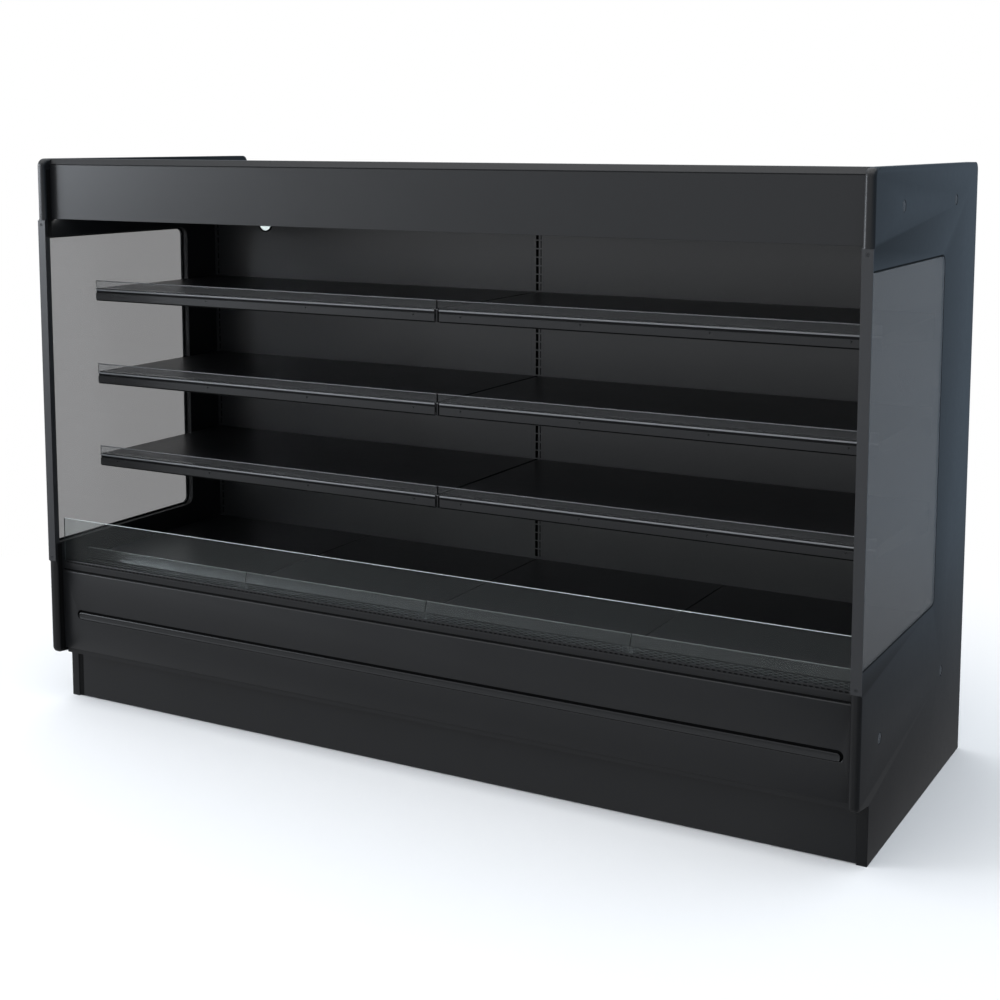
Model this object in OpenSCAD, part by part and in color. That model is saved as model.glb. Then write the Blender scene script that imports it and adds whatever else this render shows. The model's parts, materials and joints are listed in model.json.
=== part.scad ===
// Multideck display fridge: an open shop case, cooled from a plant room, with three rows of shelves.
// X runs along the case, Y from its front to its back and Z up from the floor.
// The origin is on the floor under the middle of the case.
// Every place in Y is measured from the front of the end panels and shifted at the end.

/* [Case] */
// Width over the two end panels
case_w = 2492; // [2300:1:2700]
// Depth from the front of the end panels to the back
case_d = 953; // [930:1:1050]
// Height from the floor to the top of the end panels
case_h = 1638; // [1620:1:1800]
// Thickness of an end panel
end_t = 27; // [24:0.5:34]
// Thickness of folded steel sheet
sheet = 1.5; // [1:0.1:2]
// Gap between a piece that comes off and its seat
seat_gap = 0.3; // [0.3:0.05:0.5]

/* [End panels] */
// Depth of the toe notch
toe_d = 83; // [60:1:84]
// Height of the toe notch
toe_h = 151; // [130:1:160]
// Radius of the toe notch's inner corner
toe_r = 5; // [2:0.5:9]
// Radius of the tip above the toe notch
tip_r = 8; // [4:0.5:12]
// Radius of the two top corners
corner_r = 22; // [10:1:40]
// Height of the window's lower edge
window_low = 494; // [485:1:540]
// Distance from the canopy down to the window
window_drop = 53; // [50:1:90]
// Distance of the window's back edge from the front
window_back = 632; // [500:1:700]
// Radius of the window's back corners
window_r = 25; // [15:1:60]
// Thickness of the end glass
end_glass_t = 8; // [5:0.5:12]
// Width of the gasket round the glass
gasket_w = 4.5; // [3:0.5:8]
// Thickness of the trim on the front of the glass
trim_t = 3; // [2:0.5:5]
// Depth of the trim's inner flange
trim_flange = 16; // [8:1:24]
// Length of trim below the window
trim_lap_low = 54; // [30:1:60]
// Length of trim above the window
trim_lap_high = 49; // [30:1:50]
// Distance of a trim screw from the trim's end
screw_inset = 12.5; // [8:0.5:20]
// Radius of a trim screw's head
screw_r = 4; // [3:0.25:6]
// Radius of a bolt cover
cover_r = 14.5; // [10:0.5:20]
// Thickness of a bolt cover
cover_t = 4; // [3:0.5:6]

/* [Canopy] */
// Distance of the fascia and the front panel behind the end panels' front
front_set = 28; // [20:1:34]
// Height of the fascia
fascia_h = 157; // [140:1:165]
// Height of the capping strip
cap_h = 19; // [12:1:30]
// Lean of the capping strip towards the back
cap_lean = 8; // [2:1:14]
// Depth of the fascia's folded top and of the capping strip
cap_d = 32; // [24:1:40]
// Height of the end panels above the roof
roof_drop = 38; // [34:1:60]
// Thickness of the foam-filled roof
roof_t = 45; // [30:1:50]
// Height of the canopy liner above the fascia's lower edge
liner_rise = 20; // [18:1:30]
// Distance of the honeycomb from the front
comb_set = 82; // [78:1:95]
// Depth of the honeycomb from front to back
comb_d = 100; // [60:1:120]
// Height of the honeycomb
comb_h = 25; // [15:1:30]
// Width of one honeycomb cell with its wall
comb_pitch = 40; // [30:1:80]
// Depth of the lamp housing
lamp_d = 30; // [24:1:34]
// Height of the lamp housing
lamp_h = 30; // [20:1:40]

/* [Thermometer] */
// Distance of the thermometer from the middle of the case
dial_x = 476; // [100:1:900]
// Radius of the thermometer
dial_r = 23; // [18:0.5:26]
// Thickness of the thermometer
dial_t = 8; // [7:0.5:9]
// Height of the thermometer's middle above the fascia's lower edge
dial_lift = 4; // [0:0.5:8]

/* [Back] */
// Thickness of the foam-filled rear wall
rear_t = 60; // [40:1:70]
// Depth of the air duct behind the inner back panels
duct_d = 120; // [100:1:130]
// Width of the middle standard
standard_w = 40; // [34:1:60]
// Width of an end standard
end_standard_w = 27; // [24:1:34]
// Distance from the middle of the middle standard to its columns of slots
slot_x = 6.5; // [6:0.1:9]
// Distance between slots
slot_pitch = 25.4; // [24:0.1:27]
// Height of a slot
slot_h = 18.4; // [17.6:0.1:19]
// Width of a slot
slot_w = 4.2; // [4:0.1:5]

/* [Shelves] */
// Height of the lowest shelf
shelf_low = 735.5; // [700:0.5:760]
// Number of slots between two rows of shelves
shelf_steps = 10; // [8:1:10]
// Depth from the price rail's face to the back panels
shelf_d = 580; // [400:1:600]
// Depth of the folds at the front and back of a shelf
shelf_fold = 26; // [16:1:30]
// Depth of a bracket where it meets its standard
bracket_h = 70; // [62:1:75]
// Depth of a bracket at its front
bracket_tip = 22; // [15:1:30]
// Thickness of a bracket
bracket_t = 3; // [2:0.1:3.4]
// Height of a price rail
price_h = 32; // [26:1:40]
// Depth of a price rail
price_d = 5; // [4:0.5:8]
// Gap between the two price rails of a row
price_gap = 12; // [8:1:16]
// Height of a product fence above its price rail
fence_h = 26.5; // [15:0.5:60]
// Thickness of a product fence
fence_t = 3; // [2:0.5:3.5]

/* [Deck] */
// Height of the deck
deck_z = 427; // [415:1:440]
// Depth of the folds round a deck pan
deck_fold = 20; // [12:1:30]
// Height of the nosing above the deck
nosing_h = 28.7; // [15:0.1:40]
// Distance of the nosing's top from the front
nosing_y = 138; // [134:1:160]
// Lean of the nosing towards the front
nosing_lean = 11; // [6:1:14]
// Height of the grille's foot below the deck
grille_h = 32; // [28:1:40]
// Number of deck pans and of grilles
pans = 4; // [2:1:4]

/* [Front] */
// Height of the front panel's lower edge
panel_low = 169; // [160:1:200]
// Height of the front panel's upper edge
panel_high = 405; // [380:1:406]
// Depth of the folds round the front panel
panel_fold = 12; // [11:0.5:16]
// Height of the groove's lower edge
groove_low = 263.4; // [230:0.1:300]
// Height of the groove
groove_h = 30; // [16:1:40]
// Depth of the groove
groove_d = 9; // [5:0.5:9.5]
// Distance from the groove's left end to the left end panel
groove_left = 54; // [20:1:200]
// Distance from the groove's right end to the right end panel
groove_right = 19; // [15:1:200]
// Distance of the kick plate from the front
kick_y = 85; // [84:1:100]
// Gap under the kick plate
kick_gap = 3; // [2:0.5:8]
// Height of the tub's front wall
wall_top = 409; // [407:1:412]
// Thickness of the tub's front wall
wall_t = 40; // [30:1:42]
// Thickness of the tub's floor
floor_t = 45; // [30:1:50]
// Distance of the low glass rail from the front
rail_y = 34; // [30:1:40]
// Depth of the low glass rail
rail_d = 12; // [10:1:14]
// Height of the low glass rail
rail_h = 23; // [18:1:30]
// Thickness of the low glass
low_glass_t = 5; // [4:0.5:6]
// Height of the low glass's upper edge
low_glass_top = 565; // [500:1:700]

/* [Cooling] */
// Radius of a fan
fan_r = 85; // [60:1:86]
// Height of the fans' middle above the tub's floor
fan_rise = 96; // [90:1:98]
// Distance of the fan plenum from the front
plenum_y = 330; // [280:1:360]
// Radius of a fan motor
motor_r = 35; // [25:1:45]
// Radius of a fan's shaft
shaft_r = 4; // [3:0.5:5]
// Running clearance round a shaft
shaft_gap = 0.05; // [0.02:0.01:0.1]
// Number of blades on a fan
blades = 5; // [3:1:7]
// Distance of the evaporator coil from the front
coil_y = 440; // [430:1:470]
// Depth of the evaporator coil
coil_d = 280; // [150:1:300]
// Height of the evaporator coil
coil_h = 140; // [80:1:160]
// Distance between the coil's fins
fin_pitch = 60; // [40:1:120]
// Outer radius of the drain outlet
drain_r = 21; // [16:0.5:25]
// Outer radius of the suction line
suction_r = 11.1; // [8:0.1:14]
// Outer radius of the liquid line
liquid_r = 6.35; // [4:0.05:8]
// Length of pipe below the tub
stub_l = 80; // [60:1:100]
// Thickness of the sealing collars under the tub
collar_t = 4; // [3:0.5:8]
// Reach of a sealing collar past its pipe
collar_out = 8; // [5:0.5:12]

/* [Base] */
// Width of the base frame's rails and skids
rail_w = 50; // [40:1:70]
// Height of the skids on the floor
skid_h = 60; // [40:1:80]
// Number of skids
skids = 4; // [4:2:6]

/* [Hidden] */
$fn = 64;
overrun = 10;

inner_x = case_w / 2 - end_t;
outer_x = case_w / 2;
fascia_high = case_h - cap_h;
fascia_low = fascia_high - fascia_h;
roof_top = case_h - roof_drop;
roof_z = roof_top - roof_t;
liner_z = fascia_low + liner_rise;
rear_y = case_d - rear_t;
back_y = rear_y - duct_d;
floor_z = toe_h + floor_t;
window_high = fascia_low - window_drop;
trim_low = window_low - trim_lap_low;
trim_high = window_high + trim_lap_high;
tub_y = front_set + panel_fold + seat_gap;
wall_y = tub_y + wall_t;

// Bolt covers on an end panel, as shares of its depth and its height
cover_shares = [[0.248, 0.943], [0.762, 0.943], [0.762, 0.177], [0.166, 0.177]];

// Standards and their slots
slot_step = 20;
standard_t = 2;
slot_first = shelf_low - slot_step;
slots_down = floor((slot_first - deck_z) / slot_pitch);
slots_up = floor((liner_z - slot_first - slot_h) / slot_pitch);
end_slot_x = inner_x - end_standard_w / 2;

// Shelves
shelf_pitch = shelf_steps * slot_pitch;
price_y = back_y - shelf_d;
shelf_y = price_y + price_d;
shelf_back = back_y - 4 * sheet;
price_drop = 1;
price_end = 9;
hook_gap = 0.4;
hook_rise = 0.6;
hook_h = 12;
hook_d = 10;
hook_lip = 5;
hook_notch = 4.2;
tab_d = 6;
tab_rise = 4;
tab_h = 8;
chamfer = 6;
rivet_r = 2.5;
rivet_shares = [-0.4435, -0.1478, 0.1478, 0.4435];
fence_foot = 20;

// Deck, grilles and what carries them
pan_w = 2 * inner_x / pans;
support_t = 2;
support_z = deck_z - deck_fold - seat_gap;
support_lip = 22;
support_drop = 25;
beam_y = nosing_y - sheet / 2;
beam_d = 25;
bar_w = 30;
bar_h = 20;
grille_z = deck_z - grille_h;
ledge_z = grille_z - seat_gap;
ledge_d = 12;
ledge_t = 4;
slat_w = 8;
slat_pitch = 20;

// Fans, coil and pipes
fan_x = inner_x / 2;
fan_z = floor_z + fan_rise;
fan_gap = 3;
ring_t = 2;
ring_d = 18;
hub_r = 18;
hub_d = 14;
blade_t = 1.6;
blade_chord = 26;
blade_pitch = 28;
motor_d = 50;
arm_w = 12;
arm_t = 3;
coil_end = 250;
pipe_out = 60;
coil_lift = 4;
fin_t = 1;
tube_r = 8;
tube_rows = 2;
tube_columns = 4;
pipe_x = inner_x - coil_end + pipe_out;
suction_y = coil_y + coil_d / 3;
liquid_y = coil_y + 2 * coil_d / 3;
pipe_z = floor_z + coil_h / 2;
pipe_wall = 1.2;
pipe_gap = 0.3;
drain_wall = 3;
drain_flange = 10;
drain_y = plenum_y - 2 * drain_r - 2 * drain_flange;

// Lamp, honeycomb and thermometer
lamp_y = front_set + sheet;
lamp_z = fascia_low + 4 * sheet;
lens_t = 3;
comb_wall = 2;
comb_y = comb_set + comb_wall;
dial_y = comb_set - 2 - dial_t;
dial_z = fascia_low + dial_lift;
dial_rim = 4;
dial_recess = 3;
dial_pin_r = 1;
needle_l = 14;
needle_w = 2;
needle_t = 0.8;
hanger_w = 16;
hanger_t = 2;

// Colours as the photograph shows them
black = [0.17, 0.175, 0.185];
dark = [0.10, 0.105, 0.11];
slate = [0.24, 0.26, 0.29];
rubber = [0.05, 0.05, 0.05];
clear = [0.55, 0.60, 0.62, 0.35];
steel = [0.62, 0.63, 0.65];
copper = [0.72, 0.43, 0.29];
foam = [0.80, 0.80, 0.78];

// Box between two opposite corners
module block(low, high) {
    translate(low) cube(high - low);
}

// Outline in Y and Z, given a thickness from one X to another
module along_x(from, to) {
    translate([from, 0, 0]) rotate([90, 0, 90]) linear_extrude(to - from) children();
}

// The right-hand piece, or its mirror image on the left
module on_side(side) {
    if (side < 0) mirror([1, 0, 0]) children();
    else children();
}

// Round bar along Y from one place to another
module pin_y(radius, place, from, to) {
    translate([place[0], from, place[1]]) rotate([-90, 0, 0]) cylinder(r = radius, h = to - from);
}

// Rectangle with round corners
module rounded_rect(size, r) {
    translate([r, 0]) square([size[0] - 2 * r, size[1]]);
    translate([0, r]) square([size[0], size[1] - 2 * r]);
    for (x = [r, size[0] - r], y = [r, size[1] - r]) translate([x, y]) circle(r);
}

// What rounding takes off a corner at the origin
module corner_cut(r) {
    difference() {
        translate([-overrun, -overrun]) square(r + overrun);
        translate([r, r]) circle(r);
    }
}

// Window that runs out through the front, smaller by a margin
module window_outline(margin) {
    front = -window_r - overrun;
    size = [window_back - margin - front, window_high - window_low - 2 * margin];
    translate([front, window_low + margin]) rounded_rect(size, window_r - margin);
}

module end_outline() {
    difference() {
        square([case_d, case_h]);
        translate([-overrun, -overrun]) rounded_rect([toe_d + overrun, toe_h + overrun], toe_r);
        translate([0, toe_h]) corner_cut(tip_r);
        translate([0, case_h]) mirror([0, 1]) corner_cut(corner_r);
        translate([case_d, case_h]) rotate(180) corner_cut(corner_r);
        translate([-overrun, trim_low]) square([trim_t + overrun, trim_high - trim_low]);
        window_outline(0);
    }
}

// Discs along X at the places of the bolt covers
module cover_discs(r, from, to) {
    for (share = cover_shares)
        translate([from, share[0] * case_d, share[1] * case_h])
            rotate([0, 90, 0]) cylinder(r = r, h = to - from);
}

module end_panel(side) {
    color(slate) on_side(side) difference() {
        along_x(inner_x, outer_x) end_outline();
        cover_discs(cover_r + seat_gap, outer_x - cover_t, outer_x + overrun);
    }
}

module end_glass(side) {
    color(clear) on_side(side) along_x(outer_x - end_glass_t, outer_x) intersection() {
        window_outline(gasket_w);
        translate([trim_t, 0]) square([case_d, case_h]);
    }
}

module window_gaskets() {
    color(rubber) for (side = [-1, 1]) on_side(side) along_x(outer_x - end_glass_t, outer_x) difference() {
        intersection() {
            window_outline(0);
            translate([trim_t, 0]) square([case_d, case_h]);
        }
        window_outline(gasket_w);
    }
}

// Bars along Y at the places of the trim screws
module screw_bars(r, from, to) {
    for (side = [-1, 1], z = [trim_low + screw_inset, trim_high - screw_inset])
        pin_y(r, [side * (inner_x + outer_x) / 2, z], from, to);
}

module end_trims() {
    color(slate) difference() {
        for (side = [-1, 1]) on_side(side) {
            block([inner_x, 0, trim_low], [outer_x, trim_t, trim_high]);
            block([inner_x, trim_t, window_low], [inner_x + trim_t, trim_t + trim_flange, window_high]);
        }
        screw_bars(screw_r + seat_gap, -overrun, trim_t + overrun);
    }
}

module trim_screws() {
    color(steel) screw_bars(screw_r, seat_gap, trim_t);
}

module bolt_covers() {
    color(black) for (side = [-1, 1]) on_side(side) cover_discs(cover_r, outer_x - cover_t, outer_x);
}

// Upright holes for the pipes that leave through the tub's floor
module pipe_holes() {
    for (pipe = [[drain_r, 0, drain_y], [suction_r, pipe_x, suction_y], [liquid_r, pipe_x, liquid_y]])
        translate([pipe[1], pipe[2], toe_h - overrun])
            cylinder(r = pipe[0] + pipe_gap, h = floor_t + 2 * overrun);
}

module insulated_tub() {
    color(foam) difference() {
        union() {
            block([-inner_x, tub_y, toe_h], [inner_x, rear_y, floor_z]);
            block([-inner_x, tub_y, toe_h], [inner_x, wall_y, wall_top]);
            block([-inner_x, wall_y - sheet, ledge_z - ledge_t], [inner_x, wall_y + ledge_d, ledge_z]);
        }
        pipe_holes();
    }
}

module rear_wall() {
    color(foam) block([-inner_x, rear_y, toe_h], [inner_x, case_d, roof_top]);
}

module roof_panel() {
    color(foam) block([-inner_x, front_set + cap_d, roof_z], [inner_x, rear_y, roof_top]);
}

module capping_strip() {
    low = fascia_high;
    step = sheet;
    color(slate) along_x(-inner_x, inner_x) polygon([
        [front_set + step, low], [front_set + step, low + step], [front_set, low + 2 * step],
        [front_set + cap_lean, case_h], [front_set + cap_d, case_h], [front_set + cap_d, low]
    ]);
}

module canopy_fascia() {
    back = front_set + cap_d;
    color(black) union() {
        block([-inner_x, front_set, fascia_low], [inner_x, front_set + sheet, fascia_high]);
        block([-inner_x, front_set, fascia_low], [inner_x, front_set + lamp_d / 2, fascia_low + sheet]);
        block([-inner_x, front_set, fascia_high - sheet], [inner_x, back, fascia_high]);
        block([-inner_x, back - sheet, roof_z], [inner_x, back, fascia_high]);
    }
}

// Space inside the lamp housing, from one height to another
module lamp_space(from, to) {
    x = inner_x - sheet;
    block([-x, lamp_y + sheet, from], [x, lamp_y + lamp_d - sheet, to]);
}

module lamp_housing() {
    high = lamp_z + lamp_h;
    color(steel) difference() {
        block([-inner_x, lamp_y, lamp_z], [inner_x, lamp_y + lamp_d, high]);
        lamp_space(lamp_z - overrun, high - sheet);
    }
}

module lamp_lens() {
    color(clear) lamp_space(lamp_z, lamp_z + lens_t);
}

module air_honeycomb() {
    low = liner_z - 2 * sheet;
    cells = floor(2 * inner_x / comb_pitch);
    first = -cells * comb_pitch / 2;
    row = (comb_d - comb_wall) / 2;
    color(dark) union() {
        block([-inner_x, comb_set, low], [inner_x, comb_y, roof_z]);
        difference() {
            block([-inner_x, comb_set, low], [inner_x, comb_set + comb_d, low + comb_h]);
            for (i = [0 : cells - 1], j = [0, 1])
                translate([first + i * comb_pitch + comb_wall / 2, comb_y + j * row, low - overrun])
                    cube([comb_pitch - comb_wall, row - comb_wall, comb_h + 2 * overrun]);
        }
    }
}

module canopy_liner() {
    color(black) block([-inner_x, comb_set + comb_d, liner_z], [inner_x, back_y, liner_z + sheet]);
}

module inner_back_panels() {
    low = support_z - support_drop;
    high = liner_z + sheet;
    color(black) for (side = [-1, 1]) on_side(side)
        block([standard_w / 2, back_y, low], [inner_x - end_standard_w, back_y + sheet, high]);
}

// Upright channel, open to the back
module channel(from, to) {
    t = standard_t;
    difference() {
        block([from, back_y, floor_z], [to, rear_y, roof_z]);
        block([from + t, back_y + t, floor_z - overrun], [to - t, rear_y + overrun, roof_z + overrun]);
    }
}

// One column of slots for the brackets' hooks
module slot_column(x) {
    for (i = [-slots_down : slots_up])
        translate([x - slot_w / 2, back_y - overrun, slot_first + i * slot_pitch])
            cube([slot_w, standard_t + 2 * overrun, slot_h]);
}

module shelf_standards() {
    color(dark) {
        difference() {
            channel(-standard_w / 2, standard_w / 2);
            for (x = [-slot_x, slot_x]) slot_column(x);
        }
        for (side = [-1, 1]) on_side(side) difference() {
            channel(inner_x - end_standard_w, inner_x);
            slot_column(end_slot_x);
        }
    }
}

module deck_supports() {
    front = beam_y + beam_d;
    back = back_y - support_lip;
    color(steel) union() {
        block([-inner_x, beam_y, support_z - support_t], [inner_x, front, support_z]);
        block([-inner_x, front - support_t, support_z - support_drop], [inner_x, front, support_z]);
        block([-inner_x, back, support_z - support_t], [inner_x, back_y, support_z]);
        block([-inner_x, back_y - support_t, support_z - support_drop], [inner_x, back_y, support_z]);
        for (i = [1 : pans - 1]) {
            left = -inner_x + i * pan_w - bar_w / 2;
            right = left + bar_w;
            block([left, front - support_t, support_z - bar_h], [right, back + support_t, support_z]);
            block([left, front - support_t, floor_z], [right, front + bar_w, support_z]);
        }
    }
}

module low_glass_rail() {
    slot = low_glass_t + 2 * seat_gap;
    front = rail_y + (rail_d - slot) / 2;
    color(slate) difference() {
        union() {
            block([-inner_x, rail_y, wall_top], [inner_x, rail_y + rail_d, wall_top + rail_h]);
            block([-inner_x, rail_y, wall_top], [inner_x, wall_y, wall_top + support_t]);
        }
        translate([-inner_x - overrun, front, wall_top + rail_d / 2])
            cube([2 * (inner_x + overrun), slot, rail_h]);
    }
}

module base_frame() {
    front = kick_y + panel_fold + seat_gap;
    back = case_d - rail_w / 2;
    reach = inner_x - rail_w / 2;
    gap = 2 * (reach - rail_w) / (skids - 1);
    color(dark) union() {
        for (y = [front, back - rail_w])
            block([-reach, y, skid_h], [reach, y + rail_w, toe_h]);
        for (i = [0 : skids - 1]) {
            x = -reach + i * gap;
            block([x, front, 0], [x + 2 * rail_w, back, skid_h]);
        }
    }
}

module evaporator_coil() {
    reach = inner_x - coil_end;
    fins = floor(2 * reach / fin_pitch);
    step = 2 * reach / fins;
    low = floor_z + coil_lift;
    high = floor_z + coil_h;
    row = (high - low) / tube_rows;
    column = coil_d / tube_columns;
    color(steel) union() {
        for (x = [-reach, reach - sheet])
            block([x, coil_y, floor_z], [x + sheet, coil_y + coil_d, high]);
        for (i = [1 : fins - 1])
            block([-reach + i * step, coil_y, low], [-reach + i * step + fin_t, coil_y + coil_d, high]);
        for (i = [0 : tube_rows - 1], j = [0 : tube_columns - 1])
            translate([-reach, coil_y + (j + 0.5) * column, low + (i + 0.5) * row])
                rotate([0, 90, 0]) cylinder(r = tube_r, h = 2 * reach);
    }
}

module fan_plenum() {
    high = support_z - bar_h;
    color(steel) difference() {
        union() {
            block([-inner_x, plenum_y, floor_z], [inner_x, plenum_y + support_t, high]);
            for (x = [-fan_x, fan_x])
                pin_y(fan_r + fan_gap + ring_t, [x, fan_z], plenum_y - ring_d / 2, plenum_y + ring_d / 2);
        }
        for (x = [-fan_x, fan_x])
            pin_y(fan_r + fan_gap, [x, fan_z], plenum_y - ring_d, plenum_y + ring_d);
    }
}

module fan_motors() {
    back = plenum_y + ring_d / 2;
    reach = fan_r + fan_gap + ring_t;
    color(dark) for (x = [-fan_x, fan_x]) translate([x, 0, fan_z]) {
        pin_y(motor_r, [0, 0], back + arm_t, back + arm_t + motor_d);
        pin_y(shaft_r, [0, 0], plenum_y - hub_d / 2, back + arm_t);
        for (turn = [0, 90])
            translate([0, back, 0]) rotate([0, turn, 0])
                translate([-reach, 0, -arm_w / 2]) cube([2 * reach, arm_t, arm_w]);
    }
}

module fan_blades(x) {
    size = [fan_r - hub_r / 2 - fan_gap, blade_t, blade_chord];
    color(dark) translate([x, plenum_y, fan_z]) difference() {
        union() {
            pin_y(hub_r, [0, 0], -hub_d / 2, hub_d / 2);
            for (i = [0 : blades - 1])
                rotate([0, i * 360 / blades, 0]) rotate([blade_pitch, 0, 0])
                    translate([hub_r / 2, -blade_t / 2, -blade_chord / 2]) cube(size);
        }
        pin_y(shaft_r + shaft_gap, [0, 0], -hub_d, hub_d);
    }
}

// Copper pipe that leaves the coil's end and turns down through the floor
module pipe_line(r, y) {
    reach = inner_x - coil_end;
    difference() {
        union() {
            translate([reach, y, pipe_z]) rotate([0, 90, 0]) cylinder(r = r, h = pipe_x - reach);
            translate([pipe_x, y, pipe_z]) sphere(r);
            translate([pipe_x, y, toe_h - stub_l]) cylinder(r = r, h = pipe_z - toe_h + stub_l);
            translate([pipe_x, y, toe_h - seat_gap - collar_t])
                cylinder(r = r + collar_out, h = collar_t);
        }
        translate([pipe_x, y, toe_h - stub_l - overrun]) cylinder(r = r - pipe_wall, h = stub_l + floor_t);
    }
}

module refrigerant_lines() {
    color(copper) {
        pipe_line(suction_r, suction_y);
        pipe_line(liquid_r, liquid_y);
    }
}

module drain_outlet() {
    length = stub_l + floor_t;
    bore = drain_r - drain_wall;
    color(foam) translate([0, drain_y, toe_h - stub_l]) difference() {
        union() {
            cylinder(r = drain_r, h = length);
            translate([0, 0, stub_l - seat_gap - collar_t])
                cylinder(r = drain_r + collar_out, h = collar_t);
            translate([0, 0, length]) cylinder(r = drain_r + drain_flange, h = drain_wall);
        }
        translate([0, 0, -overrun]) cylinder(r = bore, h = length + drain_wall + 2 * overrun);
    }
}

module thermometer_case() {
    back = dial_y + dial_t;
    color(steel) translate([-dial_x, 0, 0]) union() {
        difference() {
            pin_y(dial_r, [0, dial_z], dial_y, back);
            pin_y(dial_r - dial_rim, [0, dial_z], dial_y - overrun, dial_y + dial_recess);
        }
        pin_y(dial_pin_r, [0, dial_z], dial_y + sheet, back);
        block([-hanger_w / 2, back, dial_z], [hanger_w / 2, comb_set, liner_z + comb_h / 2]);
    }
}

module thermometer_needle() {
    face = dial_y + dial_recess - seat_gap;
    half = needle_w / 2;
    color("firebrick") translate([-dial_x, 0, dial_z]) difference() {
        union() {
            pin_y(2 * dial_pin_r, [0, 0], face - needle_t, face);
            block([-half, face - needle_t, -needle_l], [half, face, needle_l]);
        }
        pin_y(dial_pin_r + shaft_gap, [0, 0], dial_y - overrun, dial_y + dial_t);
    }
}

// Rounded slot shape in X and Z, given a depth along Y
module capsule(margin, from, to) {
    left = -inner_x + groove_left - margin;
    right = inner_x - groove_right + margin;
    middle = groove_low + groove_h / 2;
    r = groove_h / 2 + margin;
    for (x = [left + r, right - r]) pin_y(r, [x, middle], from, to);
    block([left + r, from, middle - r], [right - r, to, middle + r]);
}

// Groove's hollow: an undercut at the top that slopes out to the bottom edge
module groove_hollow() {
    high = groove_low + groove_h;
    deep = front_set + groove_d;
    intersection() {
        capsule(0, front_set - overrun, deep);
        along_x(-inner_x, inner_x) polygon([
            [front_set - overrun, groove_low], [front_set, groove_low], [deep, high - 0.4 * groove_h],
            [deep, high], [front_set - overrun, high]
        ]);
    }
}

module front_panel() {
    x = inner_x - seat_gap;
    back = front_set + panel_fold;
    color(black) difference() {
        union() {
            difference() {
                block([-x, front_set, panel_low], [x, back, panel_high]);
                translate([-x + sheet, front_set + sheet, panel_low + sheet])
                    cube([2 * (x - sheet), panel_fold, panel_high - panel_low - 2 * sheet]);
            }
            capsule(sheet, front_set, front_set + groove_d + sheet);
        }
        groove_hollow();
    }
}

module kick_plate() {
    x = inner_x - seat_gap;
    high = toe_h - sheet;
    color(black) difference() {
        block([-x, kick_y, kick_gap], [x, kick_y + panel_fold, high]);
        translate([-x + sheet, kick_y + sheet, kick_gap + sheet])
            cube([2 * (x - sheet), panel_fold, high - kick_gap - 2 * sheet]);
    }
}

module low_glass() {
    x = inner_x - sheet;
    front = rail_y + (rail_d - low_glass_t) / 2;
    low = wall_top + rail_d / 2 + seat_gap;
    color(clear) block([-x, front, low], [x, front + low_glass_t, low_glass_top]);
}

// Place of a row's top surface
function row_z(row) = shelf_low + row * shelf_pitch;

// Side view of a bracket with its two hooks, below a shelf whose top is at z
module bracket_outline(z) {
    back = back_y - hook_gap;
    top = z - sheet;
    seat = z - slot_step + hook_rise;
    tab = z - slot_step - 2 * slot_pitch + tab_rise;
    polygon([
        [shelf_y + sheet, top], [back - chamfer, top], [back, top - chamfer],
        [back, seat + hook_h], [back_y + hook_d, seat + hook_h], [back_y + hook_d, seat],
        [back_y + hook_d - sheet, seat - hook_lip], [back_y + hook_notch, seat - hook_lip],
        [back_y + hook_notch, seat], [back, seat],
        [back, tab + tab_h], [back_y + tab_d, tab + tab_h], [back_y + tab_d, tab], [back, tab],
        [back, z - bracket_h], [shelf_y + sheet, z - bracket_tip]
    ]);
}

module shelf(row, side) {
    z = row_z(row);
    left = slot_x - bracket_t / 2;
    right = end_slot_x + bracket_t / 2;
    color(black) on_side(side) union() {
        block([left, shelf_y, z - sheet], [right, shelf_back, z]);
        block([left, shelf_y, z - shelf_fold], [right, shelf_y + sheet, z]);
        block([left + bracket_t, shelf_back - sheet, z - slot_step], [right - bracket_t, shelf_back, z]);
        for (x = [left, right - bracket_t]) along_x(x, x + bracket_t) bracket_outline(z);
        for (share = [1 / 3, 2 / 3])
            translate([left + share * (right - left) - bar_w / 2, shelf_y, z - chamfer - sheet])
                cube([bar_w, shelf_back - shelf_y, chamfer]);
    }
}

module price_rail(row, side) {
    z = row_z(row) - price_drop;
    left = price_gap / 2;
    right = inner_x - price_end;
    middle = (left + right) / 2;
    groove = price_h / 6;
    lip = price_h / 8;
    low = z - price_h;
    front = price_y - overrun;
    step = price_y + price_d / 4;
    color(black) on_side(side) difference() {
        block([left, price_y, low], [right, shelf_y, z]);
        block([left - overrun, front, z - lip - groove], [right + overrun, price_y + price_d / 2, z - lip]);
        block([left - overrun, front, low - overrun], [right + overrun, step, low + lip / 2]);
        for (share = rivet_shares)
            pin_y(rivet_r, [middle + share * (right - left), z - price_h / 2], front, shelf_y + overrun);
    }
}

module fence(row, side) {
    z = row_z(row);
    left = price_gap / 6;
    right = inner_x - price_end;
    high = z - price_drop + fence_h;
    color(clear) on_side(side) union() {
        block([left, shelf_y - fence_t, z - price_drop], [right, shelf_y, high]);
        block([left, shelf_y - fence_t, z], [right, shelf_y + fence_foot, z + fence_t / 2]);
    }
}

module deck_pan(i) {
    left = -inner_x + (i - 1) * pan_w + seat_gap;
    right = left + pan_w - 2 * seat_gap;
    front = nosing_y + sheet + 2 * seat_gap;
    back = back_y - seat_gap;
    color(black) difference() {
        block([left, front, deck_z - deck_fold], [right, back, deck_z]);
        translate([left + sheet, front + sheet, deck_z - deck_fold - sheet])
            cube([right - left - 2 * sheet, back - front - 2 * sheet, deck_fold]);
    }
}

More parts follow.
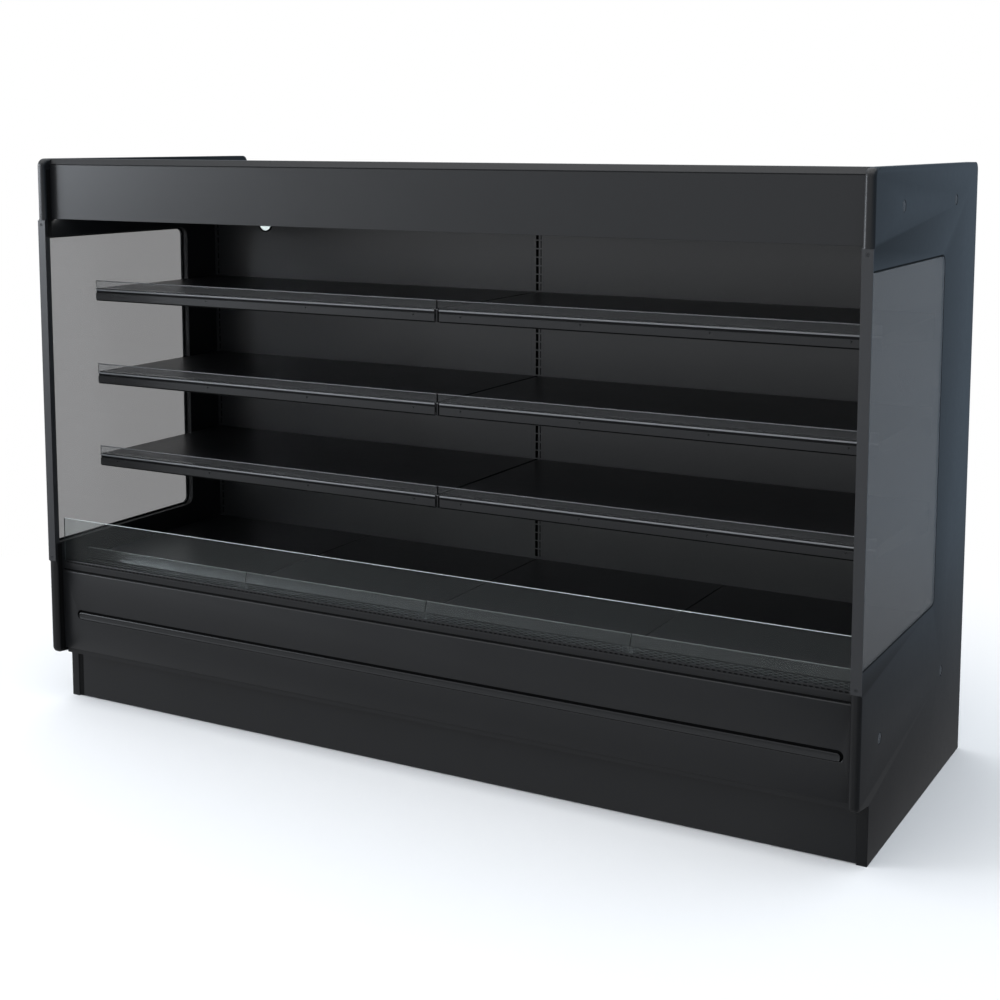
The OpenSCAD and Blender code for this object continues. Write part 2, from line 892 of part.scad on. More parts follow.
// Folded grille: slotted foot and front, leaning nosing and slotted back
module grille_outline() {
    top = deck_z + nosing_h;
    front = nosing_y - nosing_lean;
    foot = wall_y + seat_gap;
    polygon([
        [foot, grille_z], [front + sheet, grille_z], [front + sheet, deck_z - sheet],
        [nosing_y, top - 3 * sheet],
        [nosing_y, support_z + seat_gap], [nosing_y + sheet, support_z + seat_gap],
        [nosing_y + sheet, top], [nosing_y, top], [front, deck_z],
        [front, grille_z + sheet], [foot, grille_z + sheet]
    ]);
}

module return_grille(i) {
    left = -inner_x + (i - 1) * pan_w + seat_gap;
    right = left + pan_w - 2 * seat_gap;
    slots = floor((right - left - 2 * slat_w) / slat_pitch);
    first = (left + right - slots * slat_pitch + slat_w) / 2;
    low = grille_z - overrun;
    back = wall_y + ledge_d + sheet;
    size = [slat_pitch - slat_w, nosing_y + overrun - back, deck_z - 2 * sheet - low];
    color(black) difference() {
        along_x(left, right) grille_outline();
        for (k = [0 : slots - 1]) translate([first + k * slat_pitch, back, low]) cube(size);
    }
}

// A piece in the case's own frame
module placed() {
    translate([0, -case_d / 2, 0]) children();
}

placed() end_panel(-1);  // end_panel_left
placed() end_panel(1);  // end_panel_right
placed() end_glass(-1);  // end_glass_left
placed() end_glass(1);  // end_glass_right
placed() window_gaskets();
placed() end_trims();
placed() trim_screws();
placed() bolt_covers();
placed() insulated_tub();
placed() rear_wall();
placed() roof_panel();
placed() capping_strip();
placed() canopy_fascia();
placed() lamp_housing();
placed() lamp_lens();
placed() air_honeycomb();
placed() canopy_liner();
placed() inner_back_panels();
placed() shelf_standards();
placed() deck_supports();
placed() low_glass_rail();
placed() base_frame();
placed() evaporator_coil();
placed() fan_plenum();
placed() fan_motors();
placed() refrigerant_lines();
placed() drain_outlet();
placed() thermometer_case();
placed() thermometer_needle();
placed() front_panel();
placed() kick_plate();
placed() low_glass();
placed() fan_blades(-fan_x);  // fan_blades_left
placed() fan_blades(fan_x);  // fan_blades_right
placed() shelf(0, -1);  // shelf_low_left
placed() shelf(0, 1);  // shelf_low_right
placed() shelf(1, -1);  // shelf_middle_left
placed() shelf(1, 1);  // shelf_middle_right
placed() shelf(2, -1);  // shelf_high_left
placed() shelf(2, 1);  // shelf_high_right
placed() price_rail(0, -1);  // price_rail_low_left
placed() price_rail(0, 1);  // price_rail_low_right
placed() price_rail(1, -1);  // price_rail_middle_left
placed() price_rail(1, 1);  // price_rail_middle_right
placed() price_rail(2, -1);  // price_rail_high_left
placed() price_rail(2, 1);  // price_rail_high_right
placed() fence(0, -1);  // fence_low_left
placed() fence(0, 1);  // fence_low_right
placed() fence(1, -1);  // fence_middle_left
placed() fence(1, 1);  // fence_middle_right
placed() fence(2, -1);  // fence_high_left
placed() fence(2, 1);  // fence_high_right
placed() deck_pan(1);  // deck_pan_1
placed() deck_pan(2);  // deck_pan_2
placed() deck_pan(3);  // deck_pan_3
placed() deck_pan(4);  // deck_pan_4
placed() return_grille(1);  // return_grille_1
placed() return_grille(2);  // return_grille_2
placed() return_grille(3);  // return_grille_3
placed() return_grille(4);  // return_grille_4
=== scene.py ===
import json
import math

import bmesh
import bpy
from mathutils import Matrix, Vector
from mathutils.geometry import tessellate_polygon

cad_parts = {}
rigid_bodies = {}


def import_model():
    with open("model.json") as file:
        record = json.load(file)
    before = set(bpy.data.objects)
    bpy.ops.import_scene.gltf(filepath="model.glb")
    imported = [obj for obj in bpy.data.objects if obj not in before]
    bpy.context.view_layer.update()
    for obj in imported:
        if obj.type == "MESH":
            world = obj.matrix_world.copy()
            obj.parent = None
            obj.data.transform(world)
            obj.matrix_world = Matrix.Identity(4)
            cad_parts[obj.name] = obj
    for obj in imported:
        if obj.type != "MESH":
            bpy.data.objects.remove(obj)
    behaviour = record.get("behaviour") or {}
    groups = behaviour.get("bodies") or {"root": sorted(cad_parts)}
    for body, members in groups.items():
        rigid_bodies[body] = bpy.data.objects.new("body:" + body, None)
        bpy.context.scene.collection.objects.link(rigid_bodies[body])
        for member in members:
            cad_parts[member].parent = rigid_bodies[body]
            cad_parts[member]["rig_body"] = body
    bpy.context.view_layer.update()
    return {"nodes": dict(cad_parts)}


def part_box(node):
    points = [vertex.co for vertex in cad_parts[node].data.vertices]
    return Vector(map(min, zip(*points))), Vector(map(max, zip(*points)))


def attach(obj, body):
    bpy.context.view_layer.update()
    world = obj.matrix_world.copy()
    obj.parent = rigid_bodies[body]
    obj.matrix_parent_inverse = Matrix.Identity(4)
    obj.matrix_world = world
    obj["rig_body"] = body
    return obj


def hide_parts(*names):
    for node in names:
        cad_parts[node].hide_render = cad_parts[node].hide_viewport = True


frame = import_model()
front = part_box("end_panel_left")[0].y  # the end panels' front, where depths start
innerX, outerX = (corner.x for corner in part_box("end_panel_right"))
print("frame loaded")


# Shader nodes, and the groups that the materials share

def setInputs(tree, node, inputs):
    for name, value in inputs.items():
        if isinstance(value, bpy.types.NodeSocket):
            tree.links.new(value, node.inputs[name])
        else:
            node.inputs[name].default_value = value


def addNode(tree, kind, inputs=None, **traits):
    node = tree.nodes.new(kind)
    for name, value in traits.items():
        setattr(node, name, value)
    setInputs(tree, node, inputs or {})
    return node


def addMath(tree, operation, first, second):
    return addNode(tree, "ShaderNodeMath", {0: first, 1: second}, operation=operation).outputs[0]


def addNoise(tree, vector, scale, detail, roughness=0.5):
    inputs = {"Vector": vector, "Scale": scale, "Detail": detail, "Roughness": roughness}
    return addNode(tree, "ShaderNodeTexNoise", inputs).outputs["Fac"]


def addTint(tree, color, swing):
    inputs = {0: color, "Scale": addMath(tree, "ADD", swing, 1.0)}
    return addNode(tree, "ShaderNodeVectorMath", inputs, operation="SCALE").outputs["Vector"]


def mixColors(tree, share, first, second):
    inputs = {"Factor": share, "A": first, "B": second}
    return addNode(tree, "ShaderNodeMix", inputs, data_type="RGBA").outputs["Result"]


def mixShaders(tree, share, first, second):
    return addNode(tree, "ShaderNodeMixShader", {"Fac": share, 1: first, 2: second}).outputs["Shader"]


def socketKind(value):
    if isinstance(value, float):
        return "NodeSocketFloat"
    return "NodeSocketColor" if len(value) == 4 else "NodeSocketVector"


def makeGroup(name, inputs, outputs):
    group = bpy.data.node_groups.new(name, "ShaderNodeTree")
    for socket, value in inputs.items():
        kind = socketKind(value)
        group.interface.new_socket(name=socket, in_out="INPUT", socket_type=kind).default_value = value
    for socket in outputs:
        kind = "NodeSocketColor" if socket == "Color" else "NodeSocketFloat"
        group.interface.new_socket(name=socket, in_out="OUTPUT", socket_type=kind)
    return group, group.nodes.new("NodeGroupInput").outputs, group.nodes.new("NodeGroupOutput")


grainSettings = {"broad": (4.0, 3, 0.6), "cloud": (45.0, 4, 0.65), "swing": 4.0, "roughen": 0.35,
                 "dust": (0.30, 0.29, 0.27, 1)}


def makeGrain(settings):
    inputs = {"Color": (0.1, 0.1, 0.1, 1), "Roughness": 0.5, "Stretch": (1, 1, 1), "Grain Scale": 900.0,
              "Mottle": 0.1, "Dust": 0.0}
    tree, entry, leave = makeGroup("surfaceGrain", inputs, ["Color", "Roughness", "Height"])
    place = addNode(tree, "ShaderNodeTexCoord").outputs["Object"]
    stretched = addNode(tree, "ShaderNodeVectorMath", {0: place, 1: entry["Stretch"]},
                        operation="MULTIPLY").outputs["Vector"]
    cloud = addNoise(tree, stretched, *settings["cloud"])
    both = addMath(tree, "ADD", addNoise(tree, place, *settings["broad"]), cloud)
    offset = addMath(tree, "SUBTRACT", addMath(tree, "MULTIPLY", both, 0.5), 0.5)
    swing = addMath(tree, "MULTIPLY", addMath(tree, "MULTIPLY", offset, settings["swing"]), entry["Mottle"])
    normal = addNode(tree, "ShaderNodeNewGeometry").outputs["Normal"]
    split = addNode(tree, "ShaderNodeSeparateXYZ", {0: normal})
    upward = addMath(tree, "MAXIMUM", split.outputs["Z"], 0.0)
    film = addMath(tree, "MULTIPLY", addMath(tree, "MULTIPLY", upward, cloud), entry["Dust"])
    rough = addMath(tree, "ADD", entry["Roughness"], addMath(tree, "MULTIPLY", swing, settings["roughen"]))
    setInputs(tree, leave, {
        "Color": mixColors(tree, film, addTint(tree, entry["Color"], swing), settings["dust"]),
        "Roughness": addMath(tree, "ADD", rough, film),
        "Height": addNoise(tree, stretched, entry["Grain Scale"], 2)})
    return tree


spangleSettings = {"roughen": 0.4}


def makeSpangle(settings):
    inputs = {"Color": (0.5, 0.5, 0.5, 1), "Roughness": 0.4, "Crystal Scale": 60.0, "Contrast": 0.3}
    tree, entry, leave = makeGroup("zincSpangle", inputs, ["Color", "Roughness"])
    place = addNode(tree, "ShaderNodeTexCoord").outputs["Object"]
    crystal = addNode(tree, "ShaderNodeTexVoronoi", {"Vector": place, "Scale": entry["Crystal Scale"]})
    split = addNode(tree, "ShaderNodeSeparateXYZ", {0: crystal.outputs["Color"]})
    offset = addMath(tree, "SUBTRACT", split.outputs["X"], 0.5)
    swing = addMath(tree, "MULTIPLY", offset, entry["Contrast"])
    rough = addMath(tree, "ADD", entry["Roughness"], addMath(tree, "MULTIPLY", swing, settings["roughen"]))
    setInputs(tree, leave, {"Color": addTint(tree, entry["Color"], swing), "Roughness": rough})
    return tree


surfaceGrain = makeGrain(grainSettings)
zincSpangle = makeSpangle(spangleSettings)
plainLook = {"stretch": (1, 1, 1), "grain": 900.0, "mottle": 0.1, "dust": 0.0, "bump": 0.15,
             "bumpDepth": 0.0002, "metallic": 0.0, "specular": 0.5, "transmission": 0.0, "glow": 0.0}


def makeSurface(name, look):
    look = {**plainLook, **look}
    material = bpy.data.materials.new(name)
    material.use_nodes = True
    tree = material.node_tree
    inputs = {"Color": (*look["color"], 1), "Roughness": look["roughness"], "Stretch": look["stretch"],
              "Grain Scale": look["grain"], "Mottle": look["mottle"], "Dust": look["dust"]}
    grain = addNode(tree, "ShaderNodeGroup", inputs, node_tree=surfaceGrain)
    color, rough = grain.outputs["Color"], grain.outputs["Roughness"]
    if "spangle" in look:
        inputs = {"Color": color, "Roughness": rough, "Crystal Scale": look["spangle"]}
        zinc = addNode(tree, "ShaderNodeGroup", inputs, node_tree=zincSpangle)
        color, rough = zinc.outputs["Color"], zinc.outputs["Roughness"]
    bump = addNode(tree, "ShaderNodeBump", {"Strength": look["bump"], "Distance": look["bumpDepth"],
                                            "Height": grain.outputs["Height"]})
    setInputs(tree, tree.nodes["Principled BSDF"], {
        "Base Color": color, "Roughness": rough, "Normal": bump.outputs["Normal"],
        "Metallic": look["metallic"], "Specular IOR Level": look["specular"],
        "Transmission Weight": look["transmission"], "Emission Strength": look["glow"]})
    return material


def makeGlass(name, look):
    material = makeSurface(name, look)
    tree = material.node_tree
    shader = tree.nodes["Principled BSDF"]
    shader.inputs["IOR"].default_value = look["ior"]
    clear = addNode(tree, "ShaderNodeBsdfTransparent", {"Color": (*look["shadow"], 1)}).outputs["BSDF"]
    path = addNode(tree, "ShaderNodeLightPath")
    mix = mixShaders(tree, path.outputs["Is Shadow Ray"], shader.outputs["BSDF"], clear)
    setInputs(tree, tree.nodes["Material Output"], {"Surface": mix})
    return material


looks = {
    "case_black": {"color": (0.0090, 0.0094, 0.0102), "roughness": 0.34, "specular": 0.4, "mottle": 0.08,
                   "grain": 700.0, "bump": 0.12, "dust": 0.01},
    "end_black": {"color": (0.0045, 0.0049, 0.0056), "roughness": 0.34, "specular": 0.4, "mottle": 0.08,
                  "grain": 700.0, "bump": 0.10, "dust": 0.01},
    "trim_black": {"color": (0.022, 0.023, 0.025), "roughness": 0.36, "grain": 1200.0, "bump": 0.06,
                   "stretch": (1, 1, 0.06)},
    "cover_black": {"color": (0.060, 0.063, 0.067), "roughness": 0.5, "specular": 0.4},
    "insulated_panel": {"color": (0.030, 0.031, 0.033), "roughness": 0.45, "grain": 500.0},
    "galvanised": {"color": (0.52, 0.53, 0.55), "roughness": 0.42, "metallic": 1.0, "spangle": 75.0,
                   "bump": 0.10},
    "fins": {"color": (0.62, 0.63, 0.65), "roughness": 0.32, "metallic": 1.0, "mottle": 0.12,
             "stretch": (1, 1, 0.1)},
    "copper": {"color": (0.72, 0.33, 0.17), "roughness": 0.30, "metallic": 1.0, "mottle": 0.22, "bump": 0.1},
    "black_plastic": {"color": (0.018, 0.018, 0.019), "roughness": 0.5, "grain": 1500.0, "bump": 0.25},
    # near-black rubber for the window gaskets and low glass seal, also painted shade in the price rails'
    # label grooves
    "gasket": {"color": (0.005, 0.005, 0.0055), "roughness": 0.7, "specular": 0.15, "grain": 1800.0,
               "bump": 0.3},
    "screw_steel": {"color": (0.022, 0.023, 0.025), "roughness": 0.45, "specular": 0.4},
    # black painted lighter than the case black, as painted light on the inner back panels and standards
    "innerBlackPaintedLight": {"color": (0.020, 0.0204, 0.0212), "roughness": 0.36, "specular": 0.8, "mottle": 0.08,
                   "grain": 700.0, "bump": 0.10},
    # matte near-black: painted shade in slots, gaps and recesses, and the thermometer case's own black
    "blackAndPaintedShade": {"color": (0.003, 0.003, 0.0031), "roughness": 0.8, "specular": 0.1},
}
simpleLooks = {  # color, roughness, mottle, bump
    "pipe_plastic": ((0.16, 0.16, 0.17), 0.5, 0.08, 0.15),
    "dial_white": ((0.42, 0.47, 0.46), 0.35, 0.03, 0.03),
    "needle_red": ((0.55, 0.03, 0.02), 0.35, 0.05, 0.03),
    # grille colours painted lighter as light: mesh web, backing seen through the holes, and the nose top and
    # blank faces
    "meshWebPaintedLight": ((0.017, 0.0174, 0.018), 0.4, 0.06, 0.05),
    "meshBackingPaintedLight": ((0.150, 0.152, 0.155), 0.5, 0.06, 0.05),
    "grillePaintedLight": ((0.085, 0.086, 0.088), 0.4, 0.06, 0.05),
    "groundEdge": ((0.80, 0.88, 0.88), 0.45, 0.05, 0.1),
    # light grey that stands in for the highlight along the fences' top edges
    "paintedFenceHighlight": ((0.10, 0.105, 0.11), 0.35, 0.05, 0.1),
    # light grey that stands in for a highlight: the price rail bead tops and the clip knobs
    "paintedHighlightGrey": ((0.15, 0.155, 0.16), 0.35, 0.05, 0.1),
    "paneEdge": ((0.035, 0.043, 0.046), 0.3, 0.05, 0.05),
    "dialInk": ((0.03, 0.05, 0.09), 0.5, 0.05, 0.15),
    "dialBlue": ((0.10, 0.30, 0.55), 0.5, 0.05, 0.15),
    "dialGreen": ((0.10, 0.42, 0.22), 0.5, 0.05, 0.15),
}
for name, values in simpleLooks.items():
    looks[name] = dict(zip(("color", "roughness", "mottle", "bump"), values))
glassLooks = {
    "tinted_glass": {"color": (0.33, 0.33, 0.333), "roughness": 0.01, "ior": 1.15, "transmission": 0.84,
                     "shadow": (0.3, 0.3, 0.31), "mottle": 0.0, "bump": 0.0},
    "clear_glass": {"color": (0.86, 0.90, 0.90), "roughness": 0.01, "ior": 1.14, "transmission": 0.9945,
                    "shadow": (0.85, 0.87, 0.87), "mottle": 0.0, "bump": 0.0},
    "clear_plastic": {"color": (0.72, 0.73, 0.74), "roughness": 0.02, "ior": 1.12, "transmission": 0.985,
                      "shadow": (0.8, 0.8, 0.8), "mottle": 0.0, "bump": 0.0},
    "lens": {"color": (0.90, 0.90, 0.88), "roughness": 0.45, "ior": 1.45, "transmission": 0.85,
             "shadow": (0.7, 0.7, 0.7), "mottle": 0.03, "grain": 250.0, "bump": 0.4,
             "stretch": (1, 0.05, 1), "glow": 3.7},
}
materials = {name: makeSurface(name, look) for name, look in looks.items()}
materials.update({name: makeGlass(name, look) for name, look in glassLooks.items()})
print("materials made")


# Helpers that make and finish pieces

def bodyOf(node):
    return frame["nodes"][node]["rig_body"] if node else "case"


def addObject(name, data):
    thing = bpy.data.objects.new(name, data)
    bpy.context.scene.collection.objects.link(thing)
    return thing


def meshFromBm(name, bm):
    mesh = bpy.data.meshes.new(name)
    bm.to_mesh(mesh)
    bm.free()
    return mesh


def makePiece(name, bm, slot, node=None, body=None, **settings):
    bmesh.ops.recalc_face_normals(bm, faces=bm.faces)
    mesh = meshFromBm(name, bm)
    piece = addObject(name, mesh)
    flat = settings.get("flatCaps", False)  # the large faces, cut into triangles
    smooth = [not (flat and len(face.vertices) == 3) for face in mesh.polygons]
    mesh.polygons.foreach_set("use_smooth", smooth)
    width = settings.get("bevel", 0)
    mesh.set_sharp_from_angle(angle=math.radians(settings.get("sharp", 14 if width else 35)))
    if width:
        edges = piece.modifiers.new("edges", "BEVEL")
        edges.width = width
        edges.segments = settings.get("segments", 2)
        edges.limit_method = "ANGLE"
        edges.angle_limit = math.radians(30)
        edges.harden_normals = True
    for finish in (settings.get("finish", slot), *settings.get("finishes", ())):
        mesh.materials.append(materials[finish])
    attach(piece, body or bodyOf(node))
    if node:
        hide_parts(node)
    return piece


def pieceFromNode(name, node, slot, **settings):
    bm = bmesh.new()
    bm.from_mesh(frame["nodes"][node].data)
    bmesh.ops.remove_doubles(bm, verts=bm.verts, dist=0.00001)
    bmesh.ops.dissolve_limit(bm, angle_limit=math.radians(1), verts=bm.verts, edges=bm.edges)
    low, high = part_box(node)
    for vert in bm.verts:
        if abs(vert.co.y - high.y) < 0.0001:
            vert.co.y -= settings.get("recess", 0)
        if abs(vert.co.x - low.x) < 0.0001:
            vert.co.x += settings.get("short", 0)
        elif abs(vert.co.x - high.x) < 0.0001:
            vert.co.x -= settings.get("short", 0)
    for place, reach, middle, half, taller in settings.get("slots", ()):
        near = [vert for vert in bm.verts if abs(vert.co.x - place) < reach]
        ends = sorted({round(vert.co.z, 5) for vert in near})
        for vert in near:
            vert.co.x = middle + math.copysign(half, vert.co.x - place)
            vert.co.z += taller if ends.index(round(vert.co.z, 5)) % 2 else -taller
    return makePiece(name, bm, slot, node, **settings)


def paintFaces(piece, finish, isPart):
    piece.data.materials.append(materials[finish])
    for face in piece.data.polygons:
        if isPart(face):
            face.material_index = len(piece.data.materials) - 1


def paintNew(bm, known, index):
    for face in set(bm.faces) - known:
        face.material_index = index


def addBox(bm, low, high):
    size = Vector(high) - Vector(low)
    middle = (Vector(high) + Vector(low)) / 2
    bmesh.ops.create_cube(bm, size=1, matrix=Matrix.Translation(middle) @ Matrix.Diagonal((*size, 1)))


def boxesOf(*boxes):
    bm = bmesh.new()
    for low, high in boxes:
        addBox(bm, low, high)
    return bm


def addRing(bm, loop, y):
    return [bm.verts.new((x, y, z)) for x, z in loop]


def joinRings(bm, *rings):
    for first, second in zip(rings, rings[1:]):
        for i in range(len(first)):
            j = (i + 1) % len(first)
            bm.faces.new((first[i], first[j], second[j], second[i]))


def closeRings(bm, first, second):
    bm.faces.new(first)
    bm.faces.new(second)
    joinRings(bm, first, second)


def capRings(bm, rings, flatten):
    flat = [v for ring in rings for v in ring]
    for corners in tessellate_polygon([[flatten(v.co) for v in ring] for ring in rings]):
        bm.faces.new([flat[k] for k in corners])


def fromSide(point):
    return Vector((0, point.y, point.z))


def fromFront(point):
    return Vector((point.x, point.z, 0))


def sideRings(bm, outline, x0, x1):
    return [[bm.verts.new((x, y, z)) for y, z in outline] for x in (x0, x1)]


def rectangle(x0, x1, z0, z1):
    return [(x0, z0), (x1, z0), (x1, z1), (x0, z1)]


def capsuleLoop(left, right, low, high, count=24):
    radius, middle = (high - low) / 2, (low + high) / 2
    loop = []
    for centre, start in ((right - radius, -90), (left + radius, 90)):
        for k in range(count + 1):
            angle = math.radians(start + 180 * k / count)
            loop.append((centre + radius * math.cos(angle), middle + radius * math.sin(angle)))
    return loop


def addLathe(bm, centre, axis, profile, count):
    turn = Vector((0, 0, 1)).rotation_difference(Vector(axis)).to_matrix()
    angles = [2 * math.pi * i / count for i in range(count)]
    rings = []
    for radius, along in profile:
        ring = [(radius * math.cos(a), radius * math.sin(a), along) for a in (angles if radius else [0])]
        rings.append([bm.verts.new(Vector(centre) + turn @ Vector(place)) for place in ring])
    for first, second in zip(rings, rings[1:]):
        for i in range(count):
            j = (i + 1) % count
            a = first[i % len(first)], first[j % len(first)]
            b = second[i % len(second)], second[j % len(second)]
            corners = list(dict.fromkeys((a[0], a[1], b[1], b[0])))
            if len(corners) > 2:
                bm.faces.new(corners)


def planeLoops(node, x):
    mesh = frame["nodes"][node].data
    mesh.calc_loop_triangles()
    points, used = {}, {}
    for tri in mesh.loop_triangles:
        corners = [mesh.vertices[i].co for i in tri.vertices]
        if max(abs(c.x - x) for c in corners) > 0.00002:
            continue
        keys = [(round(c.y, 5), round(c.z, 5)) for c in corners]
        points.update(zip(keys, [(c.y, c.z) for c in corners]))
        for a, b in zip(keys, keys[1:] + keys[:1]):
            if (b, a) in used:
                del used[(b, a)]
            else:
                used[(a, b)] = True
    follow = dict(used.keys())
    loops = []
    while follow:
        start, key = next(iter(follow.items()))
        del follow[start]
        loop = [start]
        while key != start:
            loop.append(key)
            key = follow.pop(key)
        loops.append([points[k] for k in loop])
    return loops


def withoutStraights(loop):
    kept = []
    for i, point in enumerate(loop):
        before, after = Vector(loop[i - 1]), Vector(loop[(i + 1) % len(loop)])
        one, two = Vector(point) - before, after - Vector(point)
        if abs(one.angle_signed(two)) > math.radians(0.5):
            kept.append(point)
    return kept


def signedArea(loop):
    return sum(a[0] * b[1] - b[0] * a[1] for a, b in zip(loop, loop[1:] + loop[:1])) / 2


def addHexMesh(bm, origin, along, up, columns, settings):
    pitch, web = settings["pitch"], settings["web"]
    along, up = Vector(along), Vector(up)
    inward = along.cross(up).normalized() * settings["depth"]
    big, small = pitch / math.sqrt(3), (pitch - web) / math.sqrt(3)
    corners = {}

    def corner(point, layer):
        key = (round(point.x, 5), round(point.y, 5), layer)
        if key not in corners:
            corners[key] = bm.verts.new(Vector(origin) + along * point.x + up * point.y + inward * layer)
        return corners[key]

    turns = [math.radians(30 + 60 * i) for i in range(6)]
    for row in range(settings["rows"]):
        for column in range(columns):
            middle = Vector(((column + 0.5 + 0.5 * (row % 2)) * pitch, big + row * 1.5 * big))
            rings = []
            for radius in (big, small):
                ring = [middle + radius * Vector((math.cos(t), math.sin(t))) for t in turns]
                rings.append([[corner(p, layer) for p in ring] for layer in (0, 1)])
            for i in range(6):
                j = (i + 1) % 6
                for outer, inner in zip(*rings):
                    bm.faces.new((outer[i], outer[j], inner[j], inner[i]))
                near, far = rings[1]
                bm.faces.new((near[i], near[j], far[j], far[i]))


def spareOf(length, columns, settings):
    return (length - (columns + 0.5) * settings["pitch"]) / 2


def meshHeight(settings):
    return settings["pitch"] / math.sqrt(3) * (1.5 * settings["rows"] + 0.5)


# End panels: rounded noses in front, small radii elsewhere

endSettings = {"toe": 0.020, "nose": 0.0105, "edge": 0.0014, "seam": 0.0006, "steps": 6, "recess": 0.004,
               "topFrom": 1.5, "topFade": (0.022, 0.044), "footRange": (0.1, 0.2),
               "footFade": (0.042, 0.074), "noseDepth": 0.0225, "flatFrom": 0.002, "edgeFrom": 0.01}


def withToe(outline, settings):
    toe = settings["toe"]
    corner = min(z for y, z in outline if y < front + 0.001)
    arc = []
    for k in range(9):
        angle = math.radians(180 + 90 * k / 8)
        arc.append((front + toe * (1 + math.cos(angle)), corner + toe * (1 + math.sin(angle))))
    near = [y < front + toe and z < corner + toe for y, z in outline]
    first = next(i for i, here in enumerate(near) if here and not near[i - 1])
    return arc + [outline[i - len(near)] for i in range(first, first + len(near)) if not near[i - len(near)]]


def fadeAt(z, settings):
    if z > settings["topFrom"]:
        return settings["topFade"]
    start, stop = settings["footRange"]
    return settings["footFade"] if start < z < stop else None


def withStops(outline, settings):
    full = []
    for point, after in zip(outline, outline[1:] + outline[:1]):
        full.append(point)
        fade = fadeAt(point[1], settings)
        if not fade or abs(point[1] - after[1]) > 0.00001:
            continue
        stops = [front + fade[0] + (fade[1] - fade[0]) * k / 4 for k in range(5)]
        inside = [s for s in stops if min(point[0], after[0]) + 0.001 < s < max(point[0], after[0]) - 0.001]
        full += [(s, point[1]) for s in (inside if after[0] > point[0] else inside[::-1])]
    return full


def edgeRadius(point, outward, settings):
    ahead = point[0] - front
    edge, nose = settings["edge"], settings["nose"]
    fade = fadeAt(point[1], settings)
    if fade and abs(outward.y) > 0.3 and ahead < fade[1]:
        share = min(1.0, max(0.0, (fade[1] - ahead) / (fade[1] - fade[0])))
        return edge + (nose - edge) * share * share * (3 - 2 * share)
    if outward.x < -0.05 and ahead < settings["noseDepth"]:
        if outward.x < -0.95 and ahead > settings["flatFrom"]:
            return settings["seam"]
        return edge + (nose - edge) * min(1.0, max(0.0, -outward.x))
    return edge if ahead > settings["edgeFrom"] else settings["seam"]


def edgeInsets(outline, settings):
    insets = []
    for i, point in enumerate(outline):
        before, after = Vector(outline[i - 1]), Vector(outline[(i + 1) % len(outline)])
        one = (Vector(point) - before).normalized()
        two = (after - Vector(point)).normalized()
        outward = Vector((one.y + two.y, -one.x - two.x)).normalized()
        spread = max(0.4, outward.dot(Vector((one.y, -one.x))))
        flat = Vector((one.y, -one.x)) if abs(one.y) > abs(two.y) else Vector((two.y, -two.x))
        radius = edgeRadius(point, flat if flat.x < -0.95 else outward, settings)
        insets.append((Vector(point), outward / spread, radius))
    return insets


def endPanel(node, side, settings):
    loops = planeLoops(node, side * outerX)
    loops.sort(key=lambda loop: -abs(signedArea(loop)))
    outline, circles = withoutStraights(loops[0]), loops[1:]
    if signedArea(outline) < 0:
        outline.reverse()
    insets = edgeInsets(withStops(withToe(outline, settings), settings), settings)
    bm = bmesh.new()
    rings = []
    for face, way in ((outerX, -1), (innerX, 1)):
        layers = []
        for k in range(settings["steps"] + 1):
            angle = math.pi / 2 * k / settings["steps"]
            layer = []
            for point, outward, radius in insets:
                place = point - outward * radius * (1 - math.sin(angle))
                x = face + way * radius * (1 - math.cos(angle))
                layer.append(bm.verts.new((side * x, place.x, place.y)))
            layers.append(layer)
        rings += layers[::-way]
    joinRings(bm, *rings)
    capRings(bm, [rings[0]] + [addPocket(bm, side, circle, settings) for circle in circles], fromSide)
    capRings(bm, [rings[-1]], fromSide)
    return bm


def addPocket(bm, side, circle, settings):
    mouth, floor = sideRings(bm, circle, side * outerX, side * (outerX - settings["recess"]))
    joinRings(bm, mouth, floor)
    bm.faces.new(floor)
    return mouth


for side, word in ((-1, "left"), (1, "right")):
    node = "end_panel_" + word
    makePiece(word + "EndPanel", endPanel(node, side, endSettings), "end_black", node,
              sharp=50, flatCaps=True)
print("end panels made")


# Bolt covers: shallow domes with a groove near the rim, as shares of radius, dome and groove

coverSettings = {"dome": 0.0008, "groove": 0.0005, "deep": 0.004,
                 "profile": ((0, 0, 0), (0.45, 0.15, 0), (0.74, 0.45, 0), (0.77, 0.45, 1), (0.81, 0.5, 1),
                             (0.84, 0.6, 0), (0.95, 0.8, 0), (1, 1.6, 0))}


def boltCovers(settings):
    dome, groove, deep = settings["dome"], settings["groove"], settings["deep"]
    bm = bmesh.new()
    for side in (-1, 1):
        for circle in planeLoops("bolt_covers", side * outerX):
            middle = sum((Vector(point) / len(circle) for point in circle), Vector((0, 0)))
            radius = (Vector(circle[0]) - middle).length
            profile = [(radius * out, -dome * fall - groove * cut) for out, fall, cut in settings["profile"]]
            profile += [(radius, -deep), (0, -deep)]
            addLathe(bm, (side * outerX, middle.x, middle.y), (side, 0, 0), profile, 40)
    return bm


makePiece("boltCovers", boltCovers(coverSettings), "cover_black", "bolt_covers")


# Screws in the front trims, with a round socket

screwSettings = {"socket": 0.0016, "deep": 0.0014, "head": 0.0006}


